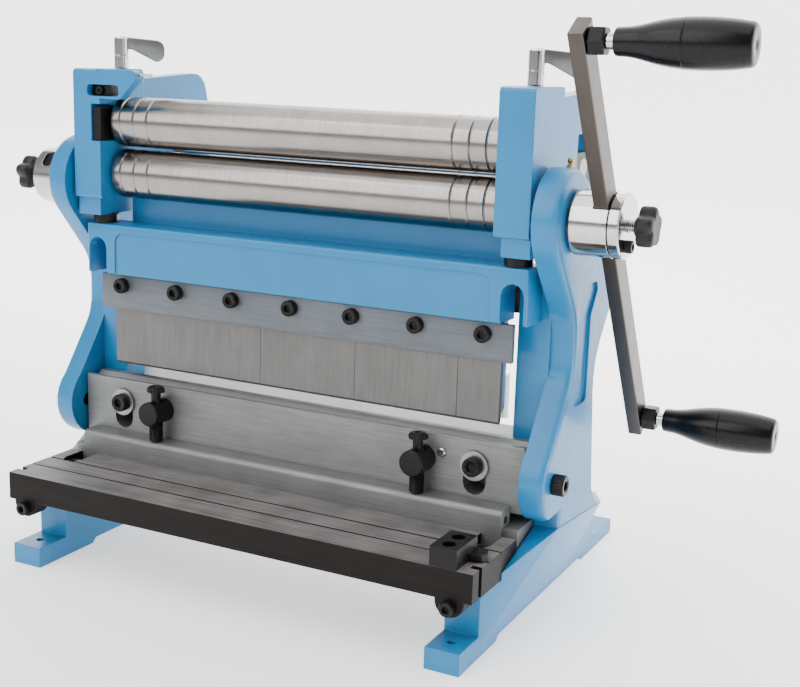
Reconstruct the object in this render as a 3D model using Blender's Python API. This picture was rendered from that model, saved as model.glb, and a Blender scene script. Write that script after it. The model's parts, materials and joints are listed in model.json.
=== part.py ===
"""Combination sheet metal machine: press brake, shear and slip rolls on one pair of cast side frames.

The axes of the machine: X runs along the rolls with 0 midway between the side frames, Y runs from
the front of the feet to their rear, and Z is up from the bench. An empty named machine carries
every piece, and moves the whole so that the origin lies at the centre of its footprint.
"""

import math

import bmesh
import bpy
from mathutils import Vector

MM = 0.001

# Fits and cutting overruns
SEAT = 0.3 * MM
RUN = 0.3 * MM
OVERRUN = 3 * MM

# Rolls, their eccentric shaft and their gears
ROLL_HALF = 150 * MM
ROLL_RADIUS = 17.75 * MM
ROLL_NIP = 1.6 * MM
ROLL_EDGE = 1 * MM
ROLL_GROOVE_DEPTH = 0.9 * MM
ROLL_GROOVE_HALF = 0.9 * MM
ROLL_GROOVE_FIRST = 8.3 * MM
ROLL_GROOVE_PITCH = 11.8 * MM
ROLL_GROOVES = 3
JOURNAL_RADIUS = 8 * MM
SHAFT_Y = 100 * MM
SHAFT_Z = 266.4 * MM
ECCENTRICITY = 6.2 * MM
NIP_TRAVEL = 2 * MM
GEAR_TEETH = 18
GEAR_WIDTH = 8 * MM
GEAR_BACKLASH_SHARE = 0.12
GEAR_ROOT_SHARE = 1.25
GEAR_TIP_SHARE = 0.9
GEAR_ROOT_HALF_SHARE = 0.36
GEAR_TIP_HALF_SHARE = 0.12
GEAR_MESH_PHASE = 0.5
REAR_ROLL_RADIUS = 15 * MM
REAR_ROLL_BEHIND = 82 * MM
REAR_ROLL_RISE = 25.6 * MM
REAR_TRAVEL = 12 * MM
REAR_JOURNAL_RADIUS = 7 * MM
REAR_BLOCK_BELOW = 11 * MM
REAR_BLOCK_ABOVE = 11 * MM
ADJUSTER_RADIUS = 3.5 * MM
ADJUSTER_KNOB_RADIUS = 9 * MM
ADJUSTER_KNOB_HEIGHT = 9 * MM

# Heads that carry the rolls on the ram
HEAD_END_PLAY = 2.3 * MM
HEAD_THICKNESS = 23.5 * MM
HEAD_FRONT_REACH = 25.5 * MM
HEAD_DEPTH = 50 * MM
HEAD_ABOVE_ROLL = 37 * MM
HEAD_BELOW_ROLL = 17.6 * MM
HEAD_EDGE = 3 * MM
LIP_HEIGHT = 12 * MM
LIP_SETBACK = 4 * MM
ARM_INSET = 5 * MM
ARM_THICKNESS = 12 * MM
ARM_REACH = 33 * MM
ARM_DROP = 8 * MM
ARM_CROWN_DROP = 2.5 * MM
ARM_CROWN_LEAN = 6 * MM
ARM_CROWN_RADIUS = 16 * MM
ARM_NOSE = 24 * MM
ARM_ROOT = 6 * MM
OVERHANG = 32 * MM
OVERHANG_FLAT = 17.5 * MM
OVERHANG_HEIGHT = 20.5 * MM
OVERHANG_END = 6.5 * MM
OVERHANG_CORNER = 4 * MM
OVERHANG_DEPTH = 8 * MM
SIGHT_HEIGHT = 8 * MM
SIGHT_LENGTH = 28 * MM
SIGHT_REACH = 11 * MM
SIGHT_DEPTH = 23 * MM
SIGHT_CORNER = 2.6 * MM
SIGHT_ABOVE_WINDOW = 5.5 * MM
WINDOW_WIDTH = 7.8 * MM
WINDOW_HEIGHT = 26 * MM
WINDOW_DEPTH = 42 * MM
WINDOW_WALL = 9 * MM
LEFT_BLOCK_SETBACK = 1.2 * MM
BLOCK_DEPTH = 27 * MM
GEAR_CASE_DEPTH = 10.5 * MM
GEAR_CASE_ROOM = 2.5 * MM
STUD_BEHIND = 10.4 * MM
STUD_INSET = 8.7 * MM
STUD_RADIUS = 3 * MM
LEVER_NECK_SHARE = 0.35
LEVER_ROUND_SHARE = 0.4
LEVER_POST_RADIUS = 5.3 * MM
LEVER_POST_HEIGHT = 22 * MM
LEVER_LENGTH = 31 * MM
LEVER_THICKNESS = 3.5 * MM
LEVER_ROOT = 8.5 * MM
LEVER_TIP = 15.5 * MM
LEVER_DROOP = 2 * MM
LEVER_RISE = 0.6 * MM
LEVER_TURN_DEG = 33

# Ram, punch and its clamp
RAM_END_GAP = 2.2 * MM
RAM_REAR_BEHIND = 8.2 * MM
RAM_DEPTH = 24.9 * MM
RAM_HEIGHT = 37.1 * MM
RAM_BELOW_ROLL = 36.1 * MM
RAM_EDGE = 2.5 * MM
RAM_WALL_THICKNESS = 10 * MM
RAM_WALL_HEIGHT = 18 * MM
RAM_WALL_END_GAP = 1.5 * MM
RAM_PANEL_DEPTH = 1.2 * MM
RAM_PANEL_INSET = 25.5 * MM
RAM_PANEL_TOP = 6 * MM
RAM_PANEL_CORNER = 7 * MM
NOTCH_END_WALL = 2.2 * MM
NOTCH_WIDTH = 15.7 * MM
NOTCH_TOP = 10.4 * MM
FLANGE_DEPTH = 11.6 * MM
FLANGE_ABOVE_DIE = 17.1 * MM
FLANGE_BEYOND_ROLL = 2 * MM
PUNCH_THICKNESS = 4 * MM
PUNCH_BEYOND_ROLL = 4.7 * MM
PUNCH_LIFT = 10 * MM
PUNCH_TIP = 1.9 * MM
PUNCH_JOINT_SHARES = (0.0, 0.41, 0.655, 0.902, 1.0)
CLAMP_BEYOND_ROLL = 13.5 * MM
CLAMP_HEIGHT = 25 * MM
CLAMP_THICKNESS = 4.5 * MM
CLAMP_SCREWS = 7
CLAMP_SCREW_END = 19.5 * MM
CLAMP_SCREW_DROP = 7.5 * MM
CLAMP_HEAD_RADIUS = 5.5 * MM
CLAMP_HEAD_HEIGHT = 5.5 * MM
CLAMP_SHANK_RADIUS = 3 * MM
HEAD_STUD_RADIUS = 9.3 * MM
HEAD_STUD_INSET = 10.7 * MM
HEAD_STUD_BEFORE = 7 * MM
HEAD_STUD_CORE = 4 * MM
HEAD_STUD_BITE = 7 * MM

# Die plate, its bolts and its jacks
DIE_END_GAP = 2.5 * MM
DIE_FRONT_LAND = 9.3 * MM
DIE_THICKNESS = 21.2 * MM
DIE_TOP = 121.3 * MM
DIE_BOTTOM = 77 * MM
VEE_DEPTH = 6 * MM
DIE_SLOT_INSET = 34.2 * MM
DIE_SLOT_WIDTH = 16 * MM
DIE_SLOT_HEIGHT = 27 * MM
DIE_SLOT_TOP = 10.3 * MM
DIE_BOLT_Z = 104.3 * MM
DIE_BOLT_RADIUS = 4 * MM
DIE_BOLT_HEAD = 6.5 * MM
DIE_BOLT_HEAD_HEIGHT = 4.8 * MM
DIE_BOLT_BITE = 8 * MM
WASHER_RADIUS = 10 * MM
WASHER_THICKNESS = 2 * MM
DOWEL_INSET = 58.4 * MM
DOWEL_RADIUS = 3.2 * MM
DOWEL_BELOW_TOP = 12.3 * MM
DOWEL_LENGTH = 12 * MM
DOWEL_PROUD = 1.2 * MM
JACK_INSET = 71 * MM
JACK_BEFORE_DIE = 9.6 * MM
JACK_BOSS_REACH = 10.1 * MM
JACK_BOSS_RADIUS = 8.8 * MM
JACK_BOSS_BELOW_TOP = 17.3 * MM
JACK_RADIUS = 5.2 * MM
JACK_NECK_RADIUS = 4.1 * MM
JACK_HEAD_RADIUS = 6.6 * MM
JACK_HEAD_ABOVE = 19.3 * MM
JACK_HEAD_HEIGHT = 7 * MM
JACK_NECK_HEIGHT = 5 * MM
JACK_SPIGOT = 10 * MM
JACK_SPIGOT_RADIUS = 4 * MM

# Bed between the side frames
LEDGE_TOP = 82 * MM
LEDGE_LIP = 5.2 * MM
LEDGE_END_GAP = 10.5 * MM
LEDGE_DEPTH = 14.5 * MM
LEDGE_EDGE = 4 * MM
BED_FLOOR = 70 * MM
BED_WALL_TOP = 110.3 * MM
BED_WALL_THICKNESS = 12 * MM
BED_BEHIND_WALL = 33.5 * MM
BED_RELIEF = 10 * MM
BED_SKIRT = 13 * MM
BED_TOP = 114.7 * MM
BLADE_BEYOND_ROLL = 1 * MM
BLADE_THICKNESS = 8 * MM
BLADE_HEIGHT = 20 * MM
UPPER_BLADE_THICKNESS = 10 * MM
UPPER_BLADE_RISE_SHARE = 0.4774536
UPPER_BLADE_GAP = 9.3 * MM
UPPER_BLADE_RAKE = 5 * MM
UPPER_BLADE_BEVEL = 3 * MM

# Table in front of the bed
TABLE_OVERHANG = 5.2 * MM
TABLE_FRONT = 2.8 * MM
TABLE_THICKNESS = 19.3 * MM
TABLE_GROOVES_Y = (26 * MM, 45 * MM)
TABLE_GROOVE_WIDTH = 1.6 * MM
TABLE_GROOVE_DEPTH = 1.2 * MM
TABLE_SLOT_WIDTH = 9.5 * MM
TABLE_SLOT_FRONT = 33 * MM
TABLE_END_SLOT_Y = 14 * MM
TABLE_END_SLOT_WIDTH = 4.6 * MM
TABLE_END_SLOT_DEPTH = 6 * MM
TABLE_BOLT_RADIUS = 4 * MM
TABLE_BOLT_HEAD = 6.6 * MM
TABLE_BOLT_SINK = 8.6 * MM
TABLE_BOLT_HEAD_HEIGHT = 6 * MM
TABLE_BOLT_BITE = 10 * MM
LUG_INSET = 14.8 * MM
LUG_RADIUS = 9.7 * MM
LUG_THICKNESS = 12 * MM
LUG_HANG = 1.3 * MM
LUG_SCREW_DROP = 3.2 * MM
PUSH_SCREW_RADIUS = 3.5 * MM
PUSH_HEAD_RADIUS = 4.8 * MM
PUSH_HEAD_HEIGHT = 5 * MM
STOP_WIDTH = 18 * MM
STOP_INSET = 11 * MM
STOP_DEPTH = 30.5 * MM
STOP_HEIGHT = 12.3 * MM
STOP_TONGUE = 10 * MM
STOP_TONGUE_WIDTH = 13 * MM
STOP_TONGUE_HEIGHT = 5 * MM
STOP_RECESS_RADIUS = 4.5 * MM
STOP_RECESS_DEPTH = 4 * MM
STOP_RECESS_SHARES = (0.28, 0.72)

# Side frames
HEAD_SIDE_GAP = 3.7 * MM
FRAME_THICKNESS = 16.8 * MM
FRAME_EDGE = 4.5 * MM
BOSS_RADIUS = 32.5 * MM
BOSS_REAR_DEG = 50
BOSS_FRONT_DEG = 222
NOSE_RADIUS = 27 * MM
NOSE_BEFORE = 3.5 * MM
NOSE_Z = 100 * MM
NOSE_TOP_DEG = 128
NOSE_END_DEG = 245
WAIST_BEHIND = 11 * MM
WAIST_RADIUS = 36 * MM
WAIST_DROP_SHARE = 1.95
WAIST_RISE_SHARE = 2.4
BOLT_BEFORE = 12 * MM
BOLT_Z = 100.3 * MM
UNDER_NOSE_BEHIND = 1 * MM
FOOT_INSET = 21.5 * MM
FOOT_WIDTH = 23.5 * MM
FOOT_LENGTH = 288 * MM
FOOT_REAR_HEIGHT = 10.6 * MM
PAD_LENGTH = 28 * MM
PAD_HEIGHT = 14.4 * MM
RELIEF_FRONT = 57 * MM
RELIEF_REAR_INSET = 68 * MM
RELIEF_HEIGHT = 3.6 * MM
WEB_TOP = 46 * MM
WEB_REAR_INSET = 45 * MM
WEB_CROWN = 66 * MM
WEB_REAR_CROWN = 58 * MM
COLUMN_FOOT_BEHIND = 90 * MM
COLUMN_SINK = 3 * MM
COLUMN_RISE_SHARES = (0.280, 0.620, 0.765, 0.900)
COLUMN_FOOT_BACK = 69.92 * MM
COLUMN_WAIST_BACK = 56.96 * MM
COLUMN_WING_BACK = 88.64 * MM
COLUMN_TIP_BACK = 85.76 * MM
COLUMN_CURVE = 17.28 * MM
COLUMN_WAIST_CURVE = 40.32 * MM
COLUMN_TIP_CURVE = 23.04 * MM
PANEL_DEPTH = 2 * MM
PANEL_RIM = 16 * MM
PANEL_CORNER = 5 * MM
PANEL_RISE_SHARE = 1.6
PANEL_WING_SHARE = 2.0
PANEL_TOP_SHARE = 1.35
PANEL_WING_RIM = 32 * MM
RAIL_OUTER_GAP = 1.4 * MM
RAIL_WIDTH = 22.1 * MM
RAIL_DEPTH = 22 * MM
RAIL_BELOW_SHAFT = 37.4 * MM
FRAME_BOLT_RADIUS = 5 * MM
FRAME_BOLT_HEAD = 6.9 * MM
FRAME_BOLT_HEAD_HEIGHT = 8 * MM
FRAME_BOLT_BITE = 15 * MM
BUSH_RADIUS = 16 * MM
BUSH_FLANGE = 1.2 * MM
PAD_HOLE_RADIUS = 3 * MM
PAD_HOLE_DEPTH = 6 * MM
NIPPLE_Y_OFFSET = 8 * MM
NIPPLE_RADIUS = 2.6 * MM
NIPPLE_NECK = 1.7 * MM
NIPPLE_HEIGHT = 8 * MM
NIPPLE_BITE = 3.5 * MM
NIPPLE_FACE_DEPTH = 1.5 * MM
NIPPLE_HEX_SHARE = 0.35
NIPPLE_NECK_SHARE = 0.6
NIPPLE_BALL_SHARE = 1.25
NIPPLE_TIP_SHARE = 0.6

# Crank, shaft ends and hand knobs
HUB_RADIUS = 20.5 * MM
SHAFT_RADIUS = 12 * MM
SHAFT_REACH = 1.5 * MM
HUB_LENGTH = 24.3 * MM
RING_LENGTH = 7.3 * MM
COLLAR_LENGTH = 23 * MM
COLLAR_WINDOW_LENGTH = 9 * MM
COLLAR_WINDOW_HEIGHT = 13 * MM
COLLAR_WINDOW_DEPTH = 5 * MM
COLLAR_WINDOW_CORNER = 3 * MM
BAR_WIDTH = 17 * MM
BAR_THICKNESS = 9.5 * MM
BAR_UP = 137 * MM
BAR_DOWN = 178.5 * MM
BAR_EDGE = 1 * MM
BAR_TILT_DEG = 32.7
GRIP_UP = 127.5 * MM
GRIP_DOWN = 168.5 * MM
GRIP_START = 10 * MM
GRIP_LENGTH = 79.5 * MM
GRIP_RADIUS = 14 * MM
GRIP_SHARES = (
    (0.0, 0.50), (0.02, 0.60), (0.07, 0.62), (0.10, 0.72), (0.24, 0.94), (0.38, 1.0),
    (0.60, 0.99), (0.80, 0.93), (0.93, 0.87), (0.985, 0.76), (1.0, 0.55),
)
GRIP_PIN_RADIUS = 3.6 * MM
PIN_LENGTH_SHARE = 0.55
NUT_RADIUS = 8.6 * MM
NUT_SIDES = 6
CAP_SCREW_RADIUS = 4 * MM
CAP_SCREW_OFFSET = 12 * MM
CAP_SCREW_HEIGHT = 4.5 * MM
CAP_SCREW_BITE = 6 * MM
CAP_SCREW_CORE = 2 * MM
CAP_SCREW_LEAN_SHARE = 0.3
KNOB_RADIUS = 13 * MM
KNOB_LOBES = 5
KNOB_LOBE_POINTS = 8
KNOB_WAVE_SHARE = 0.26
KNOB_LENGTH = 11 * MM
KNOB_NECK_RADIUS = 6 * MM
KNOB_NECK_LENGTH = 2 * MM
KNOB_STUD_RADIUS = 4 * MM
RIGHT_STUD_SHOWN = 4.6 * MM
LEFT_STUD_SHOWN = 13 * MM
KNOB_STUD_BITE = 6 * MM

BOLT_EDGE = 0.8 * MM

# Facets of round pieces
ROUND_STEPS = 24
FINE_STEPS = 32
SMALL_STEPS = 12
CORNER_STEPS = 4
EDGE_STEPS = 2

# Places that follow from the sizes above
REAR_ROLL_Y = SHAFT_Y + REAR_ROLL_BEHIND
REAR_ROLL_Z = SHAFT_Z + REAR_ROLL_RISE
HEAD_FRONT = SHAFT_Y - HEAD_FRONT_REACH
STUD_Y = SHAFT_Y + STUD_BEHIND
HEAD_STUD_Y = SHAFT_Y - HEAD_STUD_BEFORE
RAM_REAR = SHAFT_Y + RAM_REAR_BEHIND
NOSE_Y = SHAFT_Y - NOSE_BEFORE
WAIST_Y = SHAFT_Y + WAIST_BEHIND
BOLT_Y = SHAFT_Y - BOLT_BEFORE
UNDER_NOSE_Y = SHAFT_Y + UNDER_NOSE_BEHIND
LOWER_ROLL_Z = SHAFT_Z + ECCENTRICITY
UPPER_ROLL_Z = LOWER_ROLL_Z + 2 * ROLL_RADIUS + ROLL_NIP
HEAD_INNER = ROLL_HALF + HEAD_END_PLAY
HEAD_OUTER = HEAD_INNER + HEAD_THICKNESS
HEAD_TOP = UPPER_ROLL_Z + HEAD_ABOVE_ROLL
HEAD_BOTTOM = LOWER_ROLL_Z - HEAD_BELOW_ROLL
LIP_BOTTOM = HEAD_BOTTOM - LIP_HEIGHT
FRAME_INNER = HEAD_OUTER + HEAD_SIDE_GAP
FRAME_OUTER = FRAME_INNER + FRAME_THICKNESS
FOOT_OUTER = FRAME_OUTER - FOOT_INSET
FOOT_INNER = FOOT_OUTER - FOOT_WIDTH
TABLE_HALF = FOOT_OUTER + TABLE_OVERHANG
TABLE_BOTTOM = WEB_TOP + SEAT
TABLE_TOP = TABLE_BOTTOM + TABLE_THICKNESS
BED_UNDERSIDE = WEB_TOP + SEAT
RAM_TOP = LOWER_ROLL_Z - RAM_BELOW_ROLL
RAM_BOTTOM = RAM_TOP - RAM_HEIGHT
RAM_FRONT = RAM_REAR - RAM_DEPTH
FLANGE_FRONT = RAM_REAR - FLANGE_DEPTH
PUNCH_REAR = FLANGE_FRONT - SEAT
PUNCH_Y = PUNCH_REAR - PUNCH_THICKNESS / 2
PUNCH_FRONT = PUNCH_REAR - PUNCH_THICKNESS
PUNCH_TOP = RAM_BOTTOM - SEAT
PUNCH_BOTTOM = DIE_TOP + PUNCH_LIFT
CLAMP_REAR = PUNCH_FRONT - SEAT
CLAMP_FRONT = CLAMP_REAR - CLAMP_THICKNESS
CLAMP_SCREW_Z = PUNCH_TOP - CLAMP_SCREW_DROP
RAIL_FRONT = RAM_REAR + RUN
RAIL_OUTER = FRAME_INNER + RAIL_OUTER_GAP
DIE_FRONT = PUNCH_Y - DIE_FRONT_LAND
JACK_Y = DIE_FRONT - JACK_BEFORE_DIE
JACK_BOSS_FRONT = JACK_Y - JACK_BOSS_REACH
LEDGE_FRONT = JACK_Y - LEDGE_LIP
TABLE_REAR = LEDGE_FRONT - SEAT
DIE_REAR = DIE_FRONT + DIE_THICKNESS
BED_WALL_FRONT = DIE_REAR + RUN
BED_WALL_REAR = BED_WALL_FRONT + BED_WALL_THICKNESS
BED_REAR = BED_WALL_REAR + BED_BEHIND_WALL
LEDGE_REAR = LEDGE_FRONT + LEDGE_DEPTH
FLANGE_HEIGHT = RAM_BOTTOM - DIE_TOP - FLANGE_ABOVE_DIE
UPPER_BLADE_TIP = BED_TOP + UPPER_BLADE_GAP
UPPER_BLADE_TOP = UPPER_BLADE_TIP + UPPER_BLADE_RISE_SHARE * (RAM_BOTTOM - UPPER_BLADE_TIP)
JACK_Z = DIE_TOP - JACK_BOSS_BELOW_TOP
FRAME_SEAT = FRAME_INNER - SEAT
HUB_START = FRAME_OUTER + BUSH_FLANGE + SEAT
HUB_END = HUB_START + HUB_LENGTH
RING_START = HUB_END + SEAT
RING_END = RING_START + RING_LENGTH
BAR_START = HUB_END - BAR_THICKNESS
COLLAR_END = HUB_START + COLLAR_LENGTH
GRIP_BASE = HUB_END + GRIP_START
REACH_RIGHT = GRIP_BASE + GRIP_LENGTH
REACH_LEFT = COLLAR_END + LEFT_STUD_SHOWN + KNOB_NECK_LENGTH + KNOB_LENGTH
TABLE_BOLT_Y = (TABLE_SLOT_FRONT + TABLE_REAR) / 2
FOOT_X = FOOT_OUTER - FOOT_WIDTH / 2
LUG_SCREW_Z = TABLE_BOTTOM - LUG_HANG - LUG_SCREW_DROP
WALL_HALF = HEAD_INNER - RAM_WALL_END_GAP
NIPPLE_X = FRAME_INNER + FRAME_THICKNESS / 2
NIPPLE_Y = SHAFT_Y + NIPPLE_Y_OFFSET
NIPPLE_SEAT = SHAFT_Z + math.sqrt(BOSS_RADIUS**2 - NIPPLE_Y_OFFSET**2) - NIPPLE_FACE_DEPTH
WINDOW_BOTTOM = UPPER_ROLL_Z - WINDOW_HEIGHT / 2 - SEAT
WINDOW_TOP = WINDOW_BOTTOM + WINDOW_HEIGHT
BLOCK_HEIGHT = WINDOW_HEIGHT - NIP_TRAVEL - 2 * SEAT
BLOCK_BOTTOM = WINDOW_BOTTOM + SEAT
GEAR_CASE_FLOOR = HEAD_OUTER - GEAR_CASE_DEPTH
GEAR_RADIUS = (UPPER_ROLL_Z - LOWER_ROLL_Z) / 2
RAM_HALF = HEAD_OUTER - RAM_END_GAP
NOTCH_OUTER = RAM_HALF - NOTCH_END_WALL
FLANGE_HALF = ROLL_HALF + FLANGE_BEYOND_ROLL
PUNCH_HALF = ROLL_HALF + PUNCH_BEYOND_ROLL
CLAMP_HALF = ROLL_HALF + CLAMP_BEYOND_ROLL
CLAMP_SCREW_PITCH = 2 * (CLAMP_HALF - CLAMP_SCREW_END) / (CLAMP_SCREWS - 1)
BLADE_HALF = ROLL_HALF + BLADE_BEYOND_ROLL
STUD_X = HEAD_INNER + STUD_INSET
HEAD_STUD_X = HEAD_INNER + HEAD_STUD_INSET
DIE_HALF = FRAME_INNER - DIE_END_GAP
DIE_SLOT_X = DIE_HALF - DIE_SLOT_INSET
DOWEL_X = DIE_HALF - DOWEL_INSET
JACK_X = DIE_HALF - JACK_INSET
LEDGE_HALF = FRAME_INNER - LEDGE_END_GAP
LUG_X = TABLE_HALF - LUG_INSET
RAIL_INNER = RAIL_OUTER - RAIL_WIDTH
RAIL_TOP = SHAFT_Z - RAIL_BELOW_SHAFT
RELIEF_REAR = FOOT_LENGTH - RELIEF_REAR_INSET
WEB_REAR = FOOT_LENGTH - WEB_REAR_INSET
COLUMN_FOOT_REAR = SHAFT_Y + COLUMN_FOOT_BEHIND
CENTRE_X = (REACH_RIGHT - REACH_LEFT) / 2
CENTRE_Y = FOOT_LENGTH / 2

PAINT = ("sky_blue_paint", (0.15, 0.40, 0.62), 0.35, 0.0)
IRON = ("machined_iron", (0.30, 0.31, 0.31), 0.45, 0.9)
STEEL = ("polished_steel", (0.62, 0.61, 0.60), 0.18, 1.0)
SATIN = ("satin_steel", (0.52, 0.49, 0.44), 0.35, 1.0)
CHROME = ("chrome_plate", (0.72, 0.72, 0.70), 0.08, 1.0)
BLACK = ("black_oxide", (0.025, 0.025, 0.028), 0.4, 0.6)
MATT = ("matte_black_plastic", (0.02, 0.02, 0.02), 0.6, 0.0)
BROWN = ("dark_table_paint", (0.045, 0.036, 0.033), 0.5, 0.0)
GLOSS = ("gloss_black_plastic", (0.012, 0.012, 0.013), 0.15, 0.0)
BRASS = ("brass", (0.66, 0.47, 0.20), 0.25, 1.0)


def clear_scene():
    """Removes what the new scene starts with."""
    for obj in list(bpy.data.objects):
        bpy.data.objects.remove(obj)


def material_of(finish):
    """The material of a finish (name, colour, roughness, metallic), made once."""
    name, colour, roughness, metallic = finish
    found = bpy.data.materials.get(name)
    if found:
        return found
    made = bpy.data.materials.new(name)
    made.use_nodes = True
    shader = made.node_tree.nodes["Principled BSDF"]
    shader.inputs["Base Color"].default_value = (*colour, 1.0)
    shader.inputs["Roughness"].default_value = roughness
    shader.inputs["Metallic"].default_value = metallic
    return made


def empty(name, parent, place=(0.0, 0.0, 0.0)):
    """An empty that carries pieces, at a place measured from its parent."""
    made = bpy.data.objects.new(name, None)
    bpy.context.collection.objects.link(made)
    made.parent = parent
    made.location = place
    return made


def piece(name, shape, parent, finish, sharp_deg=32):
    """A named object with its own material from a finished bmesh."""
    bmesh.ops.recalc_face_normals(shape, faces=shape.faces)
    mesh = bpy.data.meshes.new(name)
    shape.to_mesh(mesh)
    shape.free()
    mesh.shade_smooth()
    mesh.set_sharp_from_angle(angle=math.radians(sharp_deg))
    mesh.materials.append(material_of(finish))
    made = bpy.data.objects.new(name, mesh)
    bpy.context.collection.objects.link(made)
    made.parent = parent
    return made


def combine(target, shapes, operation):
    """Booleans each helper shape with the target, and keeps the helpers out of the render."""
    for shape in shapes:
        number = len(target.modifiers)
        helper = piece(f"{target.name}_{operation.lower()}_{number}", shape, target.parent, PAINT)
        helper.hide_render = True
        helper.display_type = "WIRE"
        modifier = target.modifiers.new(f"{operation.lower()}_{number}", "BOOLEAN")
        modifier.operation = operation
        modifier.object = helper
        modifier.solver = "EXACT"
    return target


def cut(target, *shapes):
    """Cuts each shape out of the target."""
    return combine(target, shapes, "DIFFERENCE")


def fuse(target, *shapes):
    """Joins each shape to the target as one body."""
    return combine(target, shapes, "UNION")


def arc(centre, radius, start_deg, end_deg, steps=CORNER_STEPS):
    """Points of an arc about a centre, both ends included."""
    points = []
    for step in range(steps + 1):
        angle = math.radians(start_deg + (end_deg - start_deg) * step / steps)
        points.append((centre[0] + radius * math.cos(angle), centre[1] + radius * math.sin(angle)))
    return points


def filleted(corners, steps=CORNER_STEPS):
    """Outline from corners (a, b, radius), each rounded by an arc where its radius isn't zero."""
    points = []
    for index, (a, b, radius) in enumerate(corners):
        here = Vector((a, b))
        before = (Vector(corners[index - 1][:2]) - here).normalized()
        after = (Vector(corners[(index + 1) % len(corners)][:2]) - here).normalized()
        if not radius:
            points.append((a, b))
            continue
        half = before.angle(after) / 2
        middle = here + (before + after).normalized() * (radius / math.sin(half))
        first = here + before * (radius / math.tan(half)) - middle
        last = here + after * (radius / math.tan(half)) - middle
        turn = first.angle_signed(last)
        for step in range(steps + 1):
            share = turn * step / steps
            cosine = math.cos(share)
            sine = math.sin(share)
            # angle_signed is positive clockwise
            spun = Vector((first.x * cosine + first.y * sine, first.y * cosine - first.x * sine))
            points.append(tuple(middle + spun))
    return points


def rectangle(low_a, high_a, low_b, high_b, radius=0.0, steps=CORNER_STEPS):
    """Outline of a rectangle with equal corner radii."""
    corners = ((low_a, low_b), (high_a, low_b), (high_a, high_b), (low_a, high_b))
    return filleted([(a, b, radius) for a, b in corners], steps)


def placed(axis, along, a, b):
    """A point at a distance along an axis, with its other two coordinates in X, Y, Z order."""
    return {"X": (along, a, b), "Y": (a, along, b), "Z": (a, b, along)}[axis]


def prism(outline, axis, low, high, low_edge=0.0, high_edge=0.0):
    """Outline extruded along an axis, with rounded edges round either end."""
    shape = bmesh.new()
    start = min(low, high)
    end = max(low, high)
    if low > high:
        low_edge, high_edge = high_edge, low_edge
    verts = [shape.verts.new(placed(axis, start + low_edge, a, b)) for a, b in outline]
    base = shape.faces.new(verts)
    grown = bmesh.ops.extrude_face_region(shape, geom=[base])["geom"]
    lifted = [item for item in grown if isinstance(item, bmesh.types.BMVert)]
    travel = Vector(placed(axis, end - start - low_edge - high_edge, 0.0, 0.0))
    bmesh.ops.translate(shape, verts=lifted, vec=travel)
    cap = next(item for item in grown if isinstance(item, bmesh.types.BMFace))
    bmesh.ops.recalc_face_normals(shape, faces=shape.faces)
    for face, radius in ((base, low_edge), (cap, high_edge)):
        if radius:
            round_end(shape, face, radius)
    return shape


def round_end(shape, face, radius, steps=EDGE_STEPS):
    """Rounds the edge round an end face by insets that follow a quarter circle."""
    for step in range(steps):
        start = math.pi / 2 * step / steps
        end = math.pi / 2 * (step + 1) / steps
        bmesh.ops.inset_region(
            shape,
            faces=[face],
            use_even_offset=True,
            thickness=radius * (math.cos(start) - math.cos(end)),
            depth=radius * (math.sin(end) - math.sin(start)),
        )


def turned(profile, axis, centre=(0.0, 0.0), segments=ROUND_STEPS):
    """Solid turned about an axis from points (along, radius), closed by flat ends."""
    shape = bmesh.new()
    rings = []
    for along, radius in profile:
        ring = []
        for step in range(segments):
            angle = 2 * math.pi * step / segments
            a = centre[0] + radius * math.cos(angle)
            b = centre[1] + radius * math.sin(angle)
            ring.append(shape.verts.new(placed(axis, along, a, b)))
        rings.append(ring)
    for ring, following in zip(rings, rings[1:]):
        for step in range(segments):
            after = (step + 1) % segments
            shape.faces.new((ring[step], ring[after], following[after], following[step]))
    shape.faces.new(rings[0])
    shape.faces.new(rings[-1])
    return shape


def rod(axis, centre, radius, low, high, segments=ROUND_STEPS, edge=0.0):
    """Plain round bar, with a chamfer of the given size at both ends."""
    start = min(low, high)
    end = max(low, high)
    profile = [(start, radius), (end, radius)]
    if edge:
        profile = [(start, radius - edge), (start + edge, radius), (end - edge, radius),
                   (end, radius - edge)]
    return turned(profile, axis, centre, segments)


def box(low, high):
    """Block between two opposite corners."""
    outline = rectangle(min(low[0], high[0]), max(low[0], high[0]), low[1], high[1])
    return prism(outline, "Z", low[2], high[2])


def tapered_web(side):
    """Web of a side frame: a foot width at the bottom, widening outwards towards the column."""
    shape = bmesh.new()
    levels = []
    low = PAD_HEIGHT / 2
    for column_x, front_z, crown, rear_crown, rear_z in (
        (FOOT_OUTER, low, low, low, low),
        (FRAME_OUTER, WEB_TOP, WEB_CROWN, WEB_REAR_CROWN, WEB_TOP),
    ):
        ring = [
            (FOOT_OUTER, PAD_LENGTH, front_z), (column_x, UNDER_NOSE_Y, crown),
            (column_x, COLUMN_FOOT_REAR, rear_crown), (FOOT_OUTER, WEB_REAR, rear_z),
            (FOOT_INNER, WEB_REAR, rear_z), (FOOT_INNER, COLUMN_FOOT_REAR, rear_crown),
            (FOOT_INNER, UNDER_NOSE_Y, crown), (FOOT_INNER, PAD_LENGTH, front_z),
        ]
        levels.append([shape.verts.new((side * x, y, z)) for x, y, z in ring])
    bottom, top = levels
    for index in range(len(bottom)):
        after = (index + 1) % len(bottom)
        shape.faces.new((bottom[index], bottom[after], top[after]))
        shape.faces.new((bottom[index], top[after], top[index]))
    for ring in levels:
        for index in range(len(ring) // 2 - 1):
            shape.faces.new((ring[index], ring[index + 1], ring[-2 - index], ring[-1 - index]))
    return shape


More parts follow.
